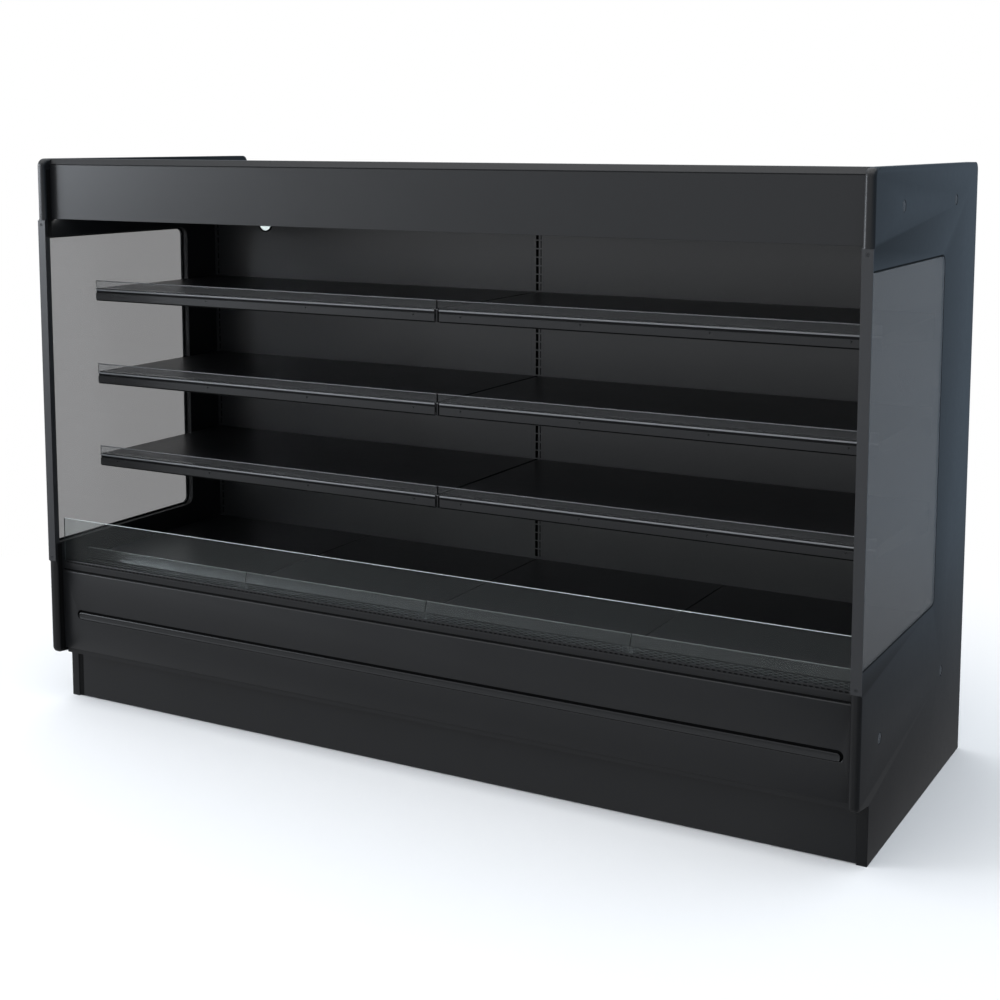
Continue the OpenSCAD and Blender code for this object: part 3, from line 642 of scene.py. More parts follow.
def trimScrews(settings):
    low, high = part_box("trim_screws")
    head, socket, deep, length = settings["head"], settings["socket"], settings["deep"], high.y - low.y
    radius = (high.x - low.x) / 2 - (outerX + innerX) / 2
    profile = [(radius, -length), (radius, -head), (radius * 0.93, -head * 0.45),
               (radius * 0.72, -head * 0.08), (socket * 1.25, 0), (socket, -0.0001),
               (socket * 0.96, -deep), (0, -deep)]
    bm = bmesh.new()
    for side in (-1, 1):
        for z in (low.z + radius, high.z - radius):
            addLathe(bm, (side * (innerX + outerX) / 2, low.y, z), (0, -1, 0), profile, 30)
    return bm


makePiece("trimScrews", trimScrews(screwSettings), "screw_steel", "trim_screws")
print("fixings made")


# Pieces that keep their solid's shape, with broken edges and their own finish
# Each slot of the standards: where it is, how wide to look, new middle, half width, how much taller

rows = ("low", "middle", "high")
shelfPlaces = [(row + "_" + side, row + side.capitalize()) for row in rows for side in ("left", "right")]
copied = {  # piece, slot, bevel, and what else it needs
    "end_trims": ("frontTrims", "trim_black", 0.0007, {}),
    "window_gaskets": ("windowGaskets", "gasket", 0.0009, {"segments": 3}),
    "insulated_tub": ("insulatedTub", "insulated_panel", 0.0015, {"finish": "case_black"}),
    "rear_wall": ("rearWall", "insulated_panel", 0.0020, {"recess": 0.0021}),
    "roof_panel": ("roofPanel", "insulated_panel", 0.0020, {}),
    "capping_strip": ("cappingStrip", "case_black", 0.0010, {}),
    "canopy_fascia": ("canopyFascia", "case_black", 0.0006, {}),
    "lamp_housing": ("lampHousing", "galvanised", 0.0005, {}),
    "lamp_lens": ("lampLens", "lens", 0.0004, {}),
    "canopy_liner": ("canopyLiner", "case_black", 0.0004, {}),
    # the inner back panels and standards get the lighter black, as painted light
    "inner_back_panels": ("innerBackPanels", "case_black", 0.0004, {"finish": "innerBlackPaintedLight"}),
    "shelf_standards": ("shelfStandards", "case_black", 0.0003, {
        "finish": "innerBlackPaintedLight",
        "slots": [(-0.0065, 0.0022, -0.0016, 0.0044, 0.0016), (0.0065, 0.0022, 0.0106, 0.0014, 0.0014)]}),
    "deck_supports": ("deckSupports", "galvanised", 0.0005, {}),
    "low_glass_rail": ("lowGlassRail", "trim_black", 0.0009, {"segments": 3, "finish": "case_black"}),
    "base_frame": ("baseFrame", "galvanised", 0.0015, {}),
    "fan_plenum": ("fanPlenum", "galvanised", 0.0004, {}),
    "fan_motors": ("fanMotors", "black_plastic", 0.0008, {}),
    "refrigerant_lines": ("refrigerantLines", "copper", 0, {}),
    "drain_outlet": ("drainOutlet", "pipe_plastic", 0.0006, {}),
    "kick_plate": ("kickPlate", "case_black", 0.0009, {}),
    "fan_blades_left": ("leftFanBlades", "black_plastic", 0.0004, {}),
    "fan_blades_right": ("rightFanBlades", "black_plastic", 0.0004, {}),
}
for pan in (1, 2, 3, 4):
    copied["deck_pan_%d" % pan] = ("deckPan%d" % pan, "case_black", 0.0006, {"short": 0.0017})
for place, word in shelfPlaces:
    copied["shelf_" + place] = (word + "Shelf", "case_black", 0.0005, {})
for node, (name, slot, bevel, settings) in copied.items():
    piece = pieceFromNode(name, node, slot, bevel=bevel, **settings)
    if node == "shelf_standards":
        # the slots' inner faces are painted black as shade
        paintFaces(piece, "blackAndPaintedShade", lambda face: face.normal.y > -0.5)
print("sheet metal made")


# Rear wall's joint strips and edge screws

rearSettings = {"joints": (-0.6095, 0, 0.6095), "strip": 0.030, "thick": 0.0009, "margin": 0.004,
                "radius": 0.0045, "inset": 0.011, "fromJoint": 0.0095, "fromFoot": 0.03, "pitch": 0.2032,
                "segments": 16}


def rearFixings(settings):
    low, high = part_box("rear_wall")
    high.y -= copied["rear_wall"][-1]["recess"]
    strip, thick, pitch = settings["strip"], settings["thick"], settings["pitch"]
    strips, screws = bmesh.new(), bmesh.new()
    for x in settings["joints"]:
        addBox(strips, (x - strip / 2, high.y - 0.0002, low.z + settings["margin"]),
               (x + strip / 2, high.y + thick, high.z - settings["margin"]))
        for side in (-1, 1):
            for row in range(int((high.z - low.z - 0.04) / pitch) + 1):
                z = low.z + settings["fromFoot"] + row * pitch
                addRivet(screws, (x + side * settings["fromJoint"], high.y + thick, z), settings)
    count = int((high.x - low.x - 0.08) / pitch)
    for z in (low.z + settings["inset"], high.z - settings["inset"]):
        for column in range(count + 1):
            x = (column - count / 2) * pitch
            if min(abs(x - joint) for joint in settings["joints"]) > strip:
                addRivet(screws, (x, high.y, z), settings)
    makePiece("rearJointStrips", strips, "insulated_panel", bevel=0.0003)
    makePiece("rearScrews", screws, "galvanised", sharp=40)


def addRivet(bm, place, settings):
    radius = settings["radius"]
    profile = [(radius, -0.0003), (radius, 0.0002), (radius * 0.8, 0.0008), (radius * 0.35, 0.0011),
               (radius * 0.3, 0.0004), (0, 0.0004)]
    addLathe(bm, place, (0, 1, 0), profile, settings["segments"])


rearFixings(rearSettings)
print("rear made")


# Glass and clear plastic, with edge finishes; the fences' ends are painted black as shade, and a light grey
# strip along their tops is a painted highlight

for word in ("left", "right"):
    pane = pieceFromNode(word + "EndGlass", "end_glass_" + word, "tinted_glass", bevel=0.0004)
    paintFaces(pane, "paneEdge", lambda face: abs(face.normal.x) < 0.5)

lowGlass = pieceFromNode("lowGlass", "low_glass", "clear_glass", bevel=0.0005)
paintFaces(lowGlass, "groundEdge", lambda face: abs(face.normal.z) > 0.5)
paintFaces(lowGlass, "paneEdge", lambda face: abs(face.normal.x) > 0.5)

fenceSettings = {"bead": 0.0028, "proud": 0.0001, "short": 0.0004, "thick": 0.003}


def fenceBead(node, settings):
    low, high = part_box(node)
    proud, short = settings["proud"], settings["short"]
    return boxesOf(((low.x + short, low.y - proud, high.z - settings["bead"]),
                    (high.x - short, low.y + settings["thick"] + proud, high.z + proud)))


for place, word in shelfPlaces:
    node = "fence_" + place
    fence = pieceFromNode(word + "Fence", node, "clear_plastic", bevel=0.0003)
    # the fences' ends are painted black as the shade at their joints
    paintFaces(fence, "blackAndPaintedShade", lambda face: abs(face.normal.x) > 0.5)
    # the top strip is light grey as a painted highlight
    makePiece(word + "FenceBead", fenceBead(node, fenceSettings), "clear_plastic", body=bodyOf(node),
              bevel=0.0012, segments=4, finish="paintedFenceHighlight")
print("glass made")


# Black seal on both sides of the low glass, where it stands in its rail; it also paints the shade of the
# rail's slot

sealSettings = {"wide": 0.0016, "low": 0.0010, "high": 0.0005, "gap": 0.0001}


def glassSealAndShade(settings):
    low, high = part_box("low_glass")
    start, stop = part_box("low_glass_rail")
    bm = bmesh.new()
    for y, way in ((low.y - settings["gap"], -1), (high.y + settings["gap"], 1)):
        y0, y1 = sorted((y, y + way * settings["wide"]))
        addBox(bm, (start.x, y0, stop.z - settings["low"]), (stop.x, y1, stop.z + settings["high"]))
    return bm


makePiece("lowGlassSealAndShade", glassSealAndShade(sealSettings), "gasket", bevel=0.0003)


# Front panel: rounded top and bottom edges, and a pull groove with a deep slot behind a lip, the slot's
# walls and floor painted black as shade
# Each ring of the groove: in from the left, right, low and high end, and how deep

panelSettings = {
    "rise": 0.002, "round": 0.0026, "sheet": 0.0015, "left": 0.054, "right": 0.019, "low": 0.2634,
    "high": 0.2942, "deep": 0.009, "lipTop": 0.2848, "lipLeft": 0.004, "lipRight": 0.0085, "shallow": 0.0006,
    "mouth": ((0, 0, 0, 0, 0), (0.0004, 0.0006, 0.0003, 0.0008, 0.0003),
              (0.0006, 0.0010, 0.0004, 0.0018, 0.0012), (0.0006, 0.0010, 0.0004, 0.0020, 0.0090)),
    "lip": ((0, 0, 0.0014, 0, 0.0090), (0, 0, 0.0014, 0, 0.0022), (0.0003, 0.0003, 0.0016, 0.0007, 0.0010),
            (0.0009, 0.0012, 0.0018, 0.0020, 0.0004), (0.0012, 0.0022, 0.0019, 0.0036, 0.0008)),
    "hollow": ((0.0014, 0.0030, 0.0020, 0.0044, 0.0030), (0.0020, 0.0056, 0.0022, 0.0082, 0.0030)),
}


def frontPanel(settings):
    low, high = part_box("front_panel")
    high.z += settings["rise"]
    r, sheet = settings["round"], settings["sheet"]
    bm = bmesh.new()
    rings = []
    for k in range(6):
        angle = math.pi / 2 * k / 5
        inset, deep = r * (1 - math.sin(angle)), r * (1 - math.cos(angle))
        side, foot = inset * 0.3, inset * 0.4
        face = rectangle(low.x + side, high.x - side, low.z + foot, high.z - inset)
        rings.append(addRing(bm, face, low.y + deep))
    rings.append(addRing(bm, rectangle(low.x, high.x, low.z, high.z), high.y))
    inner = rectangle(low.x + sheet, high.x - sheet, low.z + sheet, high.z - sheet)
    rings += [addRing(bm, inner, y) for y in (high.y, low.y + 2 * sheet)]
    joinRings(bm, *rings)
    addGroove(bm, rings[0], rings[-1], low.y, settings)
    return bm


def grooveRings(bm, y, settings):
    foot, left, right = settings["low"], -innerX + settings["left"], innerX - settings["right"]
    mouth = (left, right, foot, settings["high"])
    lip = (left + settings["lipLeft"], right - settings["lipRight"], foot, settings["lipTop"])
    rings = []
    for part, (x0, x1, z0, z1) in (("mouth", mouth), ("lip", lip), ("hollow", lip)):
        for left, right, low, high, deep in settings[part]:
            base, top = z0 + low, z1 - high
            shallow = settings["shallow"] if part == "hollow" else deep  # the hollow leans back
            rings.append([bm.verts.new((x, y + shallow + (deep - shallow) * (z - base) / (top - base), z))
                          for x, z in capsuleLoop(x0 + left, x1 - right, base, top)])
    return mouth, rings


def addGroove(bm, outline, inside, y, settings):
    (left, right, low, high), rings = grooveRings(bm, y, settings)
    capRings(bm, [outline, rings[0]], fromFront)
    joinRings(bm, *rings[:3])
    known = set(bm.faces)
    joinRings(bm, *rings[2:6])
    # the slot's walls and floor are painted near-black as shade
    paintNew(bm, known, 1)
    joinRings(bm, *rings[5:])
    bm.faces.new(rings[-1])
    sheet = settings["sheet"]
    back = capsuleLoop(left - sheet, right + sheet, low - sheet, high + sheet)
    boss = [addRing(bm, back, y + deep) for deep in (2 * sheet, settings["deep"] + sheet)]
    capRings(bm, [inside, boss[0]], fromFront)
    joinRings(bm, *boss)
    bm.faces.new(boss[1])


makePiece("frontPanel", frontPanel(panelSettings), "case_black", "front_panel", sharp=28, flatCaps=True,
          finishes=["blackAndPaintedShade"])


# Price rails: a bead on top, painted light grey along its top as a highlight; a label groove painted dark as
# shade; and a small step at the foot, painted black as shade

railSettings = {"bead": 0.0024, "grooveDeep": 0.0042, "groove": 0.0066, "face": 0.0012, "rivet": 0.0025,
                "rivetDrop": 0.0008, "foot": 0.0004, "hang": 0.0032, "joint": 0.0014,
                "shares": (-0.4435, -0.1478, 0.1478, 0.4435)}


def railOutline(low, high, settings):
    bead, top = settings["bead"], high.z
    outline = [(high.y, top)]
    for k in range(9):
        angle = math.radians(80 - 175 * k / 8)
        outline.append((low.y + bead - bead * math.cos(angle), top - bead + bead * math.sin(angle)))
    z = top - 2 * bead
    deep, face = low.y + settings["grooveDeep"], low.y + settings["face"]
    outline += [(deep, z), (deep, z - settings["groove"]), (face + 0.0003, z - settings["groove"]),
                (face, z - settings["groove"] - 0.0004)]
    foot, base = low.z + settings["foot"], low.z - settings["hang"]
    outline += [(face, foot + 0.0004), (face + 0.0004, foot), (face + 0.0026, foot - 0.0010),
                (face + 0.0026, base + 0.0008), (face + 0.0030, base), (high.y, base)]
    return outline


def addRivetHole(bm, x, z, y, floorY, radius):
    turns = [math.pi * k / 12 for k in range(24)]
    loop = [(x + radius * math.cos(turn), z + radius * math.sin(turn)) for turn in turns]
    rim, floor = addRing(bm, loop, y), addRing(bm, loop, floorY)
    joinRings(bm, rim, floor)
    bm.faces.new(floor)
    return rim


def priceRail(node, settings):
    low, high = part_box(node)
    outline = railOutline(low, high, settings)
    middle, long = (low.x + high.x) / 2, high.x - low.x
    height = (low.z + high.z) / 2 - settings["rivetDrop"]
    faceY, floorY, joint = low.y + settings["face"], high.y - 0.0004, settings["joint"]
    x0, x1 = (low.x, high.x - joint) if middle < 0 else (low.x + joint, high.x)
    bm = bmesh.new()
    near, far = sideRings(bm, outline, x0, x1)
    for i, (y0, z0) in enumerate(outline):
        j = (i + 1) % len(outline)
        y1, z1 = outline[j]
        corners = near[i], near[j], far[j], far[i]
        if abs(y0 - faceY) < 1e-6 and abs(y1 - faceY) < 1e-6 and abs(z0 - z1) > 0.01:
            holes = [addRivetHole(bm, middle + share * long, height, faceY, floorY, settings["rivet"])
                     for share in settings["shares"]]
            capRings(bm, [corners, *holes], fromFront)
            continue
        strip = bm.faces.new(corners)
        # bead top painted light grey as a highlight, the label groove and foot step painted dark as shade
        if min(z0, z1) > high.z - 2.01 * settings["bead"]:
            strip.material_index = 1
        elif min(y0, y1) > faceY + 0.0001 and max(z0, z1) < high.z - settings["bead"]:
            strip.material_index = 3 if max(z0, z1) < height else 2
    known = set(bm.faces)
    for ring, x in ((near, x0), (far, x1)):
        capRings(bm, [ring], fromSide)
        if abs(x) < 0.1:  # the end beside the other shelf, painted black as shade
            paintNew(bm, known, 3)
        known = set(bm.faces)
    return bm


for place, word in shelfPlaces:
    node = "price_rail_" + place
    makePiece(word + "PriceRail", priceRail(node, railSettings), "case_black", node, sharp=32, flatCaps=True,
              finishes=["paintedHighlightGrey", "gasket", "blackAndPaintedShade"])


# Clip that closes the gap between two shelves of a row, fixed to the left one; its sides and black boxes
# behind the gap and beside the fence end are painted shade, and its knob is light grey as a painted
# highlight

clipSettings = {"half": 0.0014, "front": 0.0026, "drop": 0.034, "knob": 0.0024}


def addClip(row, settings):
    shelf, rail, fence = (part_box("%s_%s_left" % (word, row)) for word in ("shelf", "price_rail", "fence"))
    y, top = rail[1].y, rail[1].z
    half, drop, knob = settings["half"], settings["drop"], settings["knob"]
    clip = boxesOf(((-half, y - settings["front"], top - 0.0005 - drop), (half, y + 0.0006, top - 0.0005)))
    ball = bmesh.new()
    profile = [(0, knob * 1.3), (knob * 0.5, knob * 1.2), (knob * 0.9, knob * 0.8), (knob, knob * 0.4),
               (knob * 0.8, 0), (0, 0)]
    addLathe(ball, (0, y - 0.0012, top - 0.0009), (0, 0, 1), profile, 20)
    gap = shelf[1].x - 0.0008
    paintedShadeBacking = boxesOf(((gap, y - 0.0005, top - drop), (-gap, y + 0.0008, top - 0.0012)),
                      ((fence[1].x + 0.0001, fence[0].y, fence[0].z),
                       (0.0012, fence[0].y + 0.0028, fence[1].z - 0.0008)))
    body = bodyOf("shelf_%s_left" % row)
    piece = makePiece(row + "ShelfClip", clip, "case_black", body=body, bevel=0.0004, segments=3)
    # the clip's sides are painted black as the shade of the gap
    paintFaces(piece, "blackAndPaintedShade", lambda face: abs(face.normal.x) > 0.5)
    makePiece(row + "ClipKnob", ball, "case_black", body=body, sharp=50, finish="paintedHighlightGrey")
    makePiece(row + "ClipShadeBacking", paintedShadeBacking, "case_black", body=body, finish="blackAndPaintedShade")


for row in rows:
    addClip(row, clipSettings)


# Slotted face of the low glass rail, and black strips as painted shade: behind its slots, along its foot, on
# the end panels' inner faces and at the kick plate's left end

faceSettings = {"thick": 0.0010, "pitch": 0.0143, "slot": 0.0104, "slotLow": 0.0080, "slotHigh": 0.0034,
                "round": 0.0009, "ledge": (0.0118, 0.0096), "rise": 0.0065, "foot": 0.0032,
                "paintedShadeBacking": (0.0092, 0.0024), "endShadeDepth": (0.0115, 0.0275),
                "endShadeSpans": ((0.166, 0.490), (1.412, 1.606)), "kickPaintedShadow": 0.0165}


def slottedFace(settings):
    low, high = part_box("low_glass_rail")
    thick, bend, slot = settings["thick"], settings["round"], settings["slot"]
    x0, x1, y = low.x + 0.0004, high.x - 0.0004, low.y - thick
    foot, top = low.z + settings["foot"], high.z + settings["rise"]
    bm = bmesh.new()
    addBox(bm, (x0, low.y + 0.0001, high.z - 0.001), (x1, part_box("low_glass")[0].y - 0.0002, top - 0.0008))
    rings = [addRing(bm, rectangle(x0 + inset, x1 - inset, foot + inset, top - inset), y + deep)
             for inset, deep in ((bend, 0), (0.3 * bend, 0.3 * bend), (0, bend), (0, thick))]
    joinRings(bm, *rings)
    count = int((x1 - x0 - 0.02) / settings["pitch"])
    holes = []
    for k in range(count):
        centre = (k - (count - 1) / 2) * settings["pitch"]
        loop = capsuleLoop(centre - slot / 2, centre + slot / 2, top - settings["slotLow"],
                           top - settings["slotHigh"], 5)
        holes.append(addRing(bm, loop, y))
        joinRings(bm, holes[-1], addRing(bm, loop, y + thick))
    capRings(bm, [rings[0]] + holes, fromFront)
    z0, z1 = (top - z for z in settings["ledge"])
    ledge = [addRing(bm, rectangle(x0, x1, z0 + inset, z1 - inset), y + deep)
             for inset, deep in ((0.0004, -0.0006), (0.0001, -0.0004), (0, 0.0002))]
    joinRings(bm, *ledge)
    bm.faces.new(ledge[0])
    return bm


# black strips that stand in for shade: behind the slots, along the rail's foot and on the end panels' inner
# faces
def paintedShadeStrips(settings):
    low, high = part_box("low_glass_rail")
    x0, x1, y = low.x + 0.001, high.x - 0.001, low.y
    z0, z1 = (high.z + settings["rise"] - z for z in settings["paintedShadeBacking"])
    bm = bmesh.new()
    addBox(bm, (x0, y - 0.0002, z0), (x1, y + 0.0002, z1))
    addBox(bm, (x0, y - 0.0003, low.z - 0.003), (x1, y + 0.0004, low.z + 0.004))
    near, far = settings["endShadeDepth"]
    for side in (-1, 1):
        x0, x1 = sorted((side * innerX, side * (innerX - 0.0004)))
        for z0, z1 in settings["endShadeSpans"]:
            addBox(bm, (x0, front + near, z0), (x1, front + far, z1))
    return bm


# a black strip at the kick plate's left end, painted shadow of the end panel
def kickPaintedShadow(settings):
    low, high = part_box("kick_plate")
    return boxesOf(((low.x, low.y - 0.0004, low.z), (low.x + settings["kickPaintedShadow"], low.y + 0.002, high.z)))


makePiece("kickPaintedShadow", kickPaintedShadow(faceSettings), "case_black", body=bodyOf("kick_plate"), finish="blackAndPaintedShade")
makePiece("railFace", slottedFace(faceSettings), "case_black", sharp=30, flatCaps=True)
makePiece("paintedShadeStrips", paintedShadeStrips(faceSettings), "gasket", finish="blackAndPaintedShade")
print("front made")


# Return-air grilles: pierced front strip, leaning nosing, slats under and behind, with painted light on the
# strip and the nose's top

grilleSettings = {"sheet": 0.0015, "width": 0.0125, "slat": 0.008, "slatPitch": 0.020, "squash": 0.156,
                  "bead": 0.0018, "blank": 0.010, "support": 0.0487, "large": 0.0002,
                  "mesh": {"pitch": 0.0252, "web": 0.0075, "rows": 7, "depth": 0.0011}}


def addNose(bm, low, high, deckTop, settings):
    sheet, r = settings["sheet"], settings["bead"]
    y0, y1 = high.y - settings["width"], high.y
    nose = [(y0, deckTop - 0.0035), (y0, deckTop - 0.0005), (y0 + 0.0002, deckTop)]
    for k in range(8):
        angle = math.radians(195 - 195 * k / 7)
        nose.append((y1 - r + r * math.cos(angle), high.z - r + r * math.sin(angle)))
    nose += [(y1, deckTop - 0.0045), (y1 - sheet, deckTop - 0.0045), (y1 - sheet, high.z - 2 * r - 0.001),
             (y0 + sheet, deckTop - 0.0008), (y0 + sheet, deckTop - 0.0035)]
    closeRings(bm, *sideRings(bm, nose, low.x + 0.0016, high.x - 0.0016))
    # the nose's rounded top is painted light grey as a highlight
    for face in bm.faces:
        if min(vert.co.z for vert in face.verts) > high.z - 1.9 * r and abs(face.normal.x) < 0.5:
            face.material_index = 3


def addSlats(bm, low, high, deckTop, settings):
    sheet, pitch = settings["sheet"], settings["slatPitch"]
    y0, y1, support = high.y - settings["width"], high.y, high.z - settings["support"]
    addBox(bm, (low.x, low.y, low.z), (high.x, low.y + 0.0125, low.z + sheet))
    addBox(bm, (low.x, y0, low.z), (high.x, y0 + sheet, low.z + 0.0035))
    addBox(bm, (low.x, y1 - sheet, support), (high.x, y1, support + 0.003))
    count = int((high.x - low.x) / pitch)
    first = (low.x + high.x - count * pitch) / 2
    for k in range(count + 1):
        x0 = max(low.x, first + k * pitch - settings["slat"] / 2)
        x1 = min(high.x, first + k * pitch + settings["slat"] / 2)
        addBox(bm, (x0, low.y + 0.012, low.z + 0.0001), (x1, y0 + sheet, low.z + sheet - 0.0001))
        addBox(bm, (x0, y1 - sheet + 0.0001, support), (x1, y1 - 0.0001, deckTop - 0.004))


def addPiercedStrip(bm, low, high, deckTop, settings):
    mesh, squash, y = settings["mesh"], settings["squash"], high.y - settings["width"]
    far = y + settings["sheet"]
    columns = int((high.x - low.x - 0.004 - mesh["pitch"] / 2) / mesh["pitch"])
    spare = spareOf(high.x - low.x, columns, mesh)
    base = deckTop - 0.0030 - meshHeight(mesh) * squash
    known = set(bm.faces)
    addHexMesh(bm, (low.x + spare, y + 0.0002, base), (1, 0, 0), (0, 0, squash), columns, mesh)
    addBox(bm, (low.x, y, low.z + 0.003), (high.x, far, base + 0.0015))
    blank = spare + settings["blank"]
    for x0, x1 in ((low.x + 0.0004, low.x + blank), (high.x - blank, high.x - 0.0004)):
        addBox(bm, (x0, y, low.z + 0.003), (x1, far, deckTop - 0.002))
    # mesh webs are painted lighter than the case black, and the large blank faces light grey, as painted
    # light
    for face in set(bm.faces) - known:
        face.material_index = 3 if face.calc_area() > settings["large"] else 1
    # a light grey backing plate behind the mesh: painted light seen through the holes
    known = set(bm.faces)
    addBox(bm, (low.x + 0.001, y + 0.0018, base), (high.x - 0.001, y + 0.0024, deckTop - 0.0032))
    paintNew(bm, known, 2)


def returnGrille(node, settings):
    low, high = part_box(node)
    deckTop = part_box("deck_pan_1")[1].z
    bm = bmesh.new()
    for addPart in (addNose, addSlats, addPiercedStrip):
        addPart(bm, low, high, deckTop, settings)
    return bm


for pan in (1, 2, 3, 4):
    node = "return_grille_%d" % pan
    makePiece("returnGrille%d" % pan, returnGrille(node, grilleSettings), "case_black", node, sharp=30,
              finishes=["meshWebPaintedLight", "meshBackingPaintedLight", "grillePaintedLight"])


# Honeycomb that the air curtain leaves through

combSettings = {"wall": 0.002, "tall": 0.025, "overlapX": 0.0075, "overlapY": 0.0045,
                "mesh": {"pitch": 0.0140, "web": 0.0012, "rows": 7, "depth": 0.022}}


def airHoneycomb(settings):
    low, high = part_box("air_honeycomb")
    wall, mesh, bottom = settings["wall"], settings["mesh"], low.z
    top = bottom + settings["tall"]
    bm = bmesh.new()
    addBox(bm, (low.x, low.y, bottom), (high.x, low.y + wall, high.z))
    addBox(bm, (low.x, high.y - wall, bottom), (high.x, high.y, top))
    for x in (low.x, high.x - wall):
        addBox(bm, (x, low.y + wall, bottom), (x + wall, high.y - wall, top))
    columns = int((high.x - low.x - 2 * wall) / mesh["pitch"] - 0.5)
    spareX = spareOf(high.x - low.x, columns, mesh)
    spareY = (high.y - low.y - meshHeight(mesh)) / 2
    addHexMesh(bm, (low.x + spareX, low.y + spareY, bottom + 0.001), (1, 0, 0), (0, 1, 0), columns, mesh)
    fillX, fillY = spareX + settings["overlapX"], spareY + settings["overlapY"]
    for y0, y1 in ((low.y + wall, low.y + fillY), (high.y - fillY, high.y - wall)):
        addBox(bm, (low.x + wall, y0, bottom + 0.0014), (high.x - wall, y1, bottom + 0.0224))
    for x0, x1 in ((low.x + wall, low.x + fillX), (high.x - fillX, high.x - wall)):
        addBox(bm, (x0, low.y + wall, bottom + 0.0016), (x1, high.y - wall, bottom + 0.0226))
    return bm


makePiece("airHoneycomb", airHoneycomb(combSettings), "black_plastic", "air_honeycomb", sharp=30)
print("air pieces made")


# Dial thermometer behind the fascia

dialSettings = {"rim": 0.0032, "recess": 0.003, "hanger": 0.008, "ticks": 25, "sweep": 240,
                "ticksFrom": 0.83, "longTicksFrom": 0.74, "ticksTo": 0.93, "bandSteps": 16,
                "band": (0.58, 0.66), "bands": (("Blue", -1.9, -0.35), ("Green", -0.30, 0.45))}


def thermometerCase(settings):
    low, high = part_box("thermometer_case")
    radius = (high.x - low.x) / 2
    centre = Vector(((low.x + high.x) / 2, low.y, low.z + radius))
    rim, recess, hanger = settings["rim"], settings["recess"], settings["hanger"]
    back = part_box("air_honeycomb")[0].y - 0.002 - low.y
    profile = [(0, -back), (radius - 0.001, -back), (radius, -back + 0.001), (radius, -0.0012),
               (radius - 0.0008, -0.0003), (radius - rim / 2, 0), (radius - rim, -0.0010),
               (radius - rim - 0.0004, -recess + 0.0002), (radius - rim - 0.0006, -recess - 0.0006),
               (0, -recess - 0.0006)]
    bm = bmesh.new()
    addLathe(bm, centre, (0, -1, 0), profile, 64)
    x = (high.x + low.x) / 2
    addBox(bm, (x - hanger, high.y - 0.002, centre.z), (x + hanger, high.y, high.z))
    makePiece("thermometerCase", bm, "black_plastic", "thermometer_case", sharp=40, finish="blackAndPaintedShade")
    addDialFace(Vector((centre.x, low.y + recess, centre.z)), radius - rim - 0.0006, settings)


def addDialFace(centre, radius, settings):
    face, ink = bmesh.new(), bmesh.new()
    profile = [(0, 0), (radius - 0.0003, 0), (radius, -0.0002), (radius, -0.0005), (0, -0.0005)]
    addLathe(face, centre, (0, -1, 0), profile, 64)
    makePiece("dialFace", face, "dial_white")
    sweep = math.radians(settings["sweep"])
    for k in range(settings["ticks"]):
        angle = -sweep / 2 + sweep * k / (settings["ticks"] - 1)
        start, width = ("longTicksFrom", 0.0005) if k % 4 == 0 else ("ticksFrom", 0.0003)
        addTick(ink, centre, angle, radius * settings[start], radius * settings["ticksTo"], width)
    makePiece("dialTicks", ink, "dial_white", finish="dialInk")
    for word, start, stop in settings["bands"]:
        band = bmesh.new()
        radii = [radius * share for share in settings["band"]]
        addBand(band, centre, start, stop, radii, settings["bandSteps"])
        makePiece("dialBand" + word, band, "dial_white", finish="dial" + word)


def onDial(centre, angle, radius, lift):
    x, z = centre.x + radius * math.sin(angle), centre.z + radius * math.cos(angle)
    return Vector((x, centre.y - lift, z))


def addTick(bm, centre, angle, inner, outer, width):
    side = Vector((math.cos(angle), 0, -math.sin(angle))) * width / 2
    rings = []
    for lift in (0.00002, 0.00012):
        a, b = onDial(centre, angle, inner, lift), onDial(centre, angle, outer, lift)
        rings.append([bm.verts.new(p) for p in (a - side, a + side, b + side, b - side)])
    closeRings(bm, *rings)


def addBand(bm, centre, start, stop, radii, steps):
    inner, outer = radii
    for k in range(steps):
        a, b = (start + (stop - start) * step / steps for step in (k, k + 1))
        corners = ((a, inner), (b, inner), (b, outer), (a, outer))
        closeRings(bm, *[[bm.verts.new(onDial(centre, turn, radius, lift)) for turn, radius in corners]
                         for lift in (0.00002, 0.0001)])
    bmesh.ops.remove_doubles(bm, verts=bm.verts, dist=0.000001)


needleSettings = {"tip": 0.0004, "middle": 0.0009, "waist": 0.0011, "end": 0.0006, "tail": 0.45}


def dialNeedle(settings):
    low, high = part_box("thermometer_needle")
    centre = (low + high) / 2
    long, hub, thick = (high.z - low.z) / 2, (high.x - low.x) / 2, high.y - low.y
    tail = long * settings["tail"]
    right = [(settings["tip"], long), (settings["middle"], 0), (settings["waist"], -tail * 0.7),
             (settings["end"], -tail)]
    outline = [(-settings["tip"], long), *right, *[(-x, z) for x, z in right[:0:-1]]]
    bm = bmesh.new()
    closeRings(bm, *[[bm.verts.new((centre.x + x, y, centre.z + z)) for x, z in outline]
                     for y in (low.y + 0.0002, high.y)])
    profile = [(0, 0), (hub * 0.6, -0.00005), (hub, -0.0003), (hub, -thick), (0, -thick)]
    addLathe(bm, (centre.x, low.y, centre.z), (0, -1, 0), profile, 32)
    return bm


thermometerCase(dialSettings)
makePiece("thermometerNeedle", dialNeedle(needleSettings), "needle_red", "thermometer_needle")
print("thermometer made")


# Evaporator coil with its real fin spacing, and its tubes

coilSettings = {"finPitch": 0.006, "fin": 0.0004, "plate": 0.0015, "foot": 0.004, "margin": 0.001,
                "tube": 0.008, "rows": 2, "columns": 4}


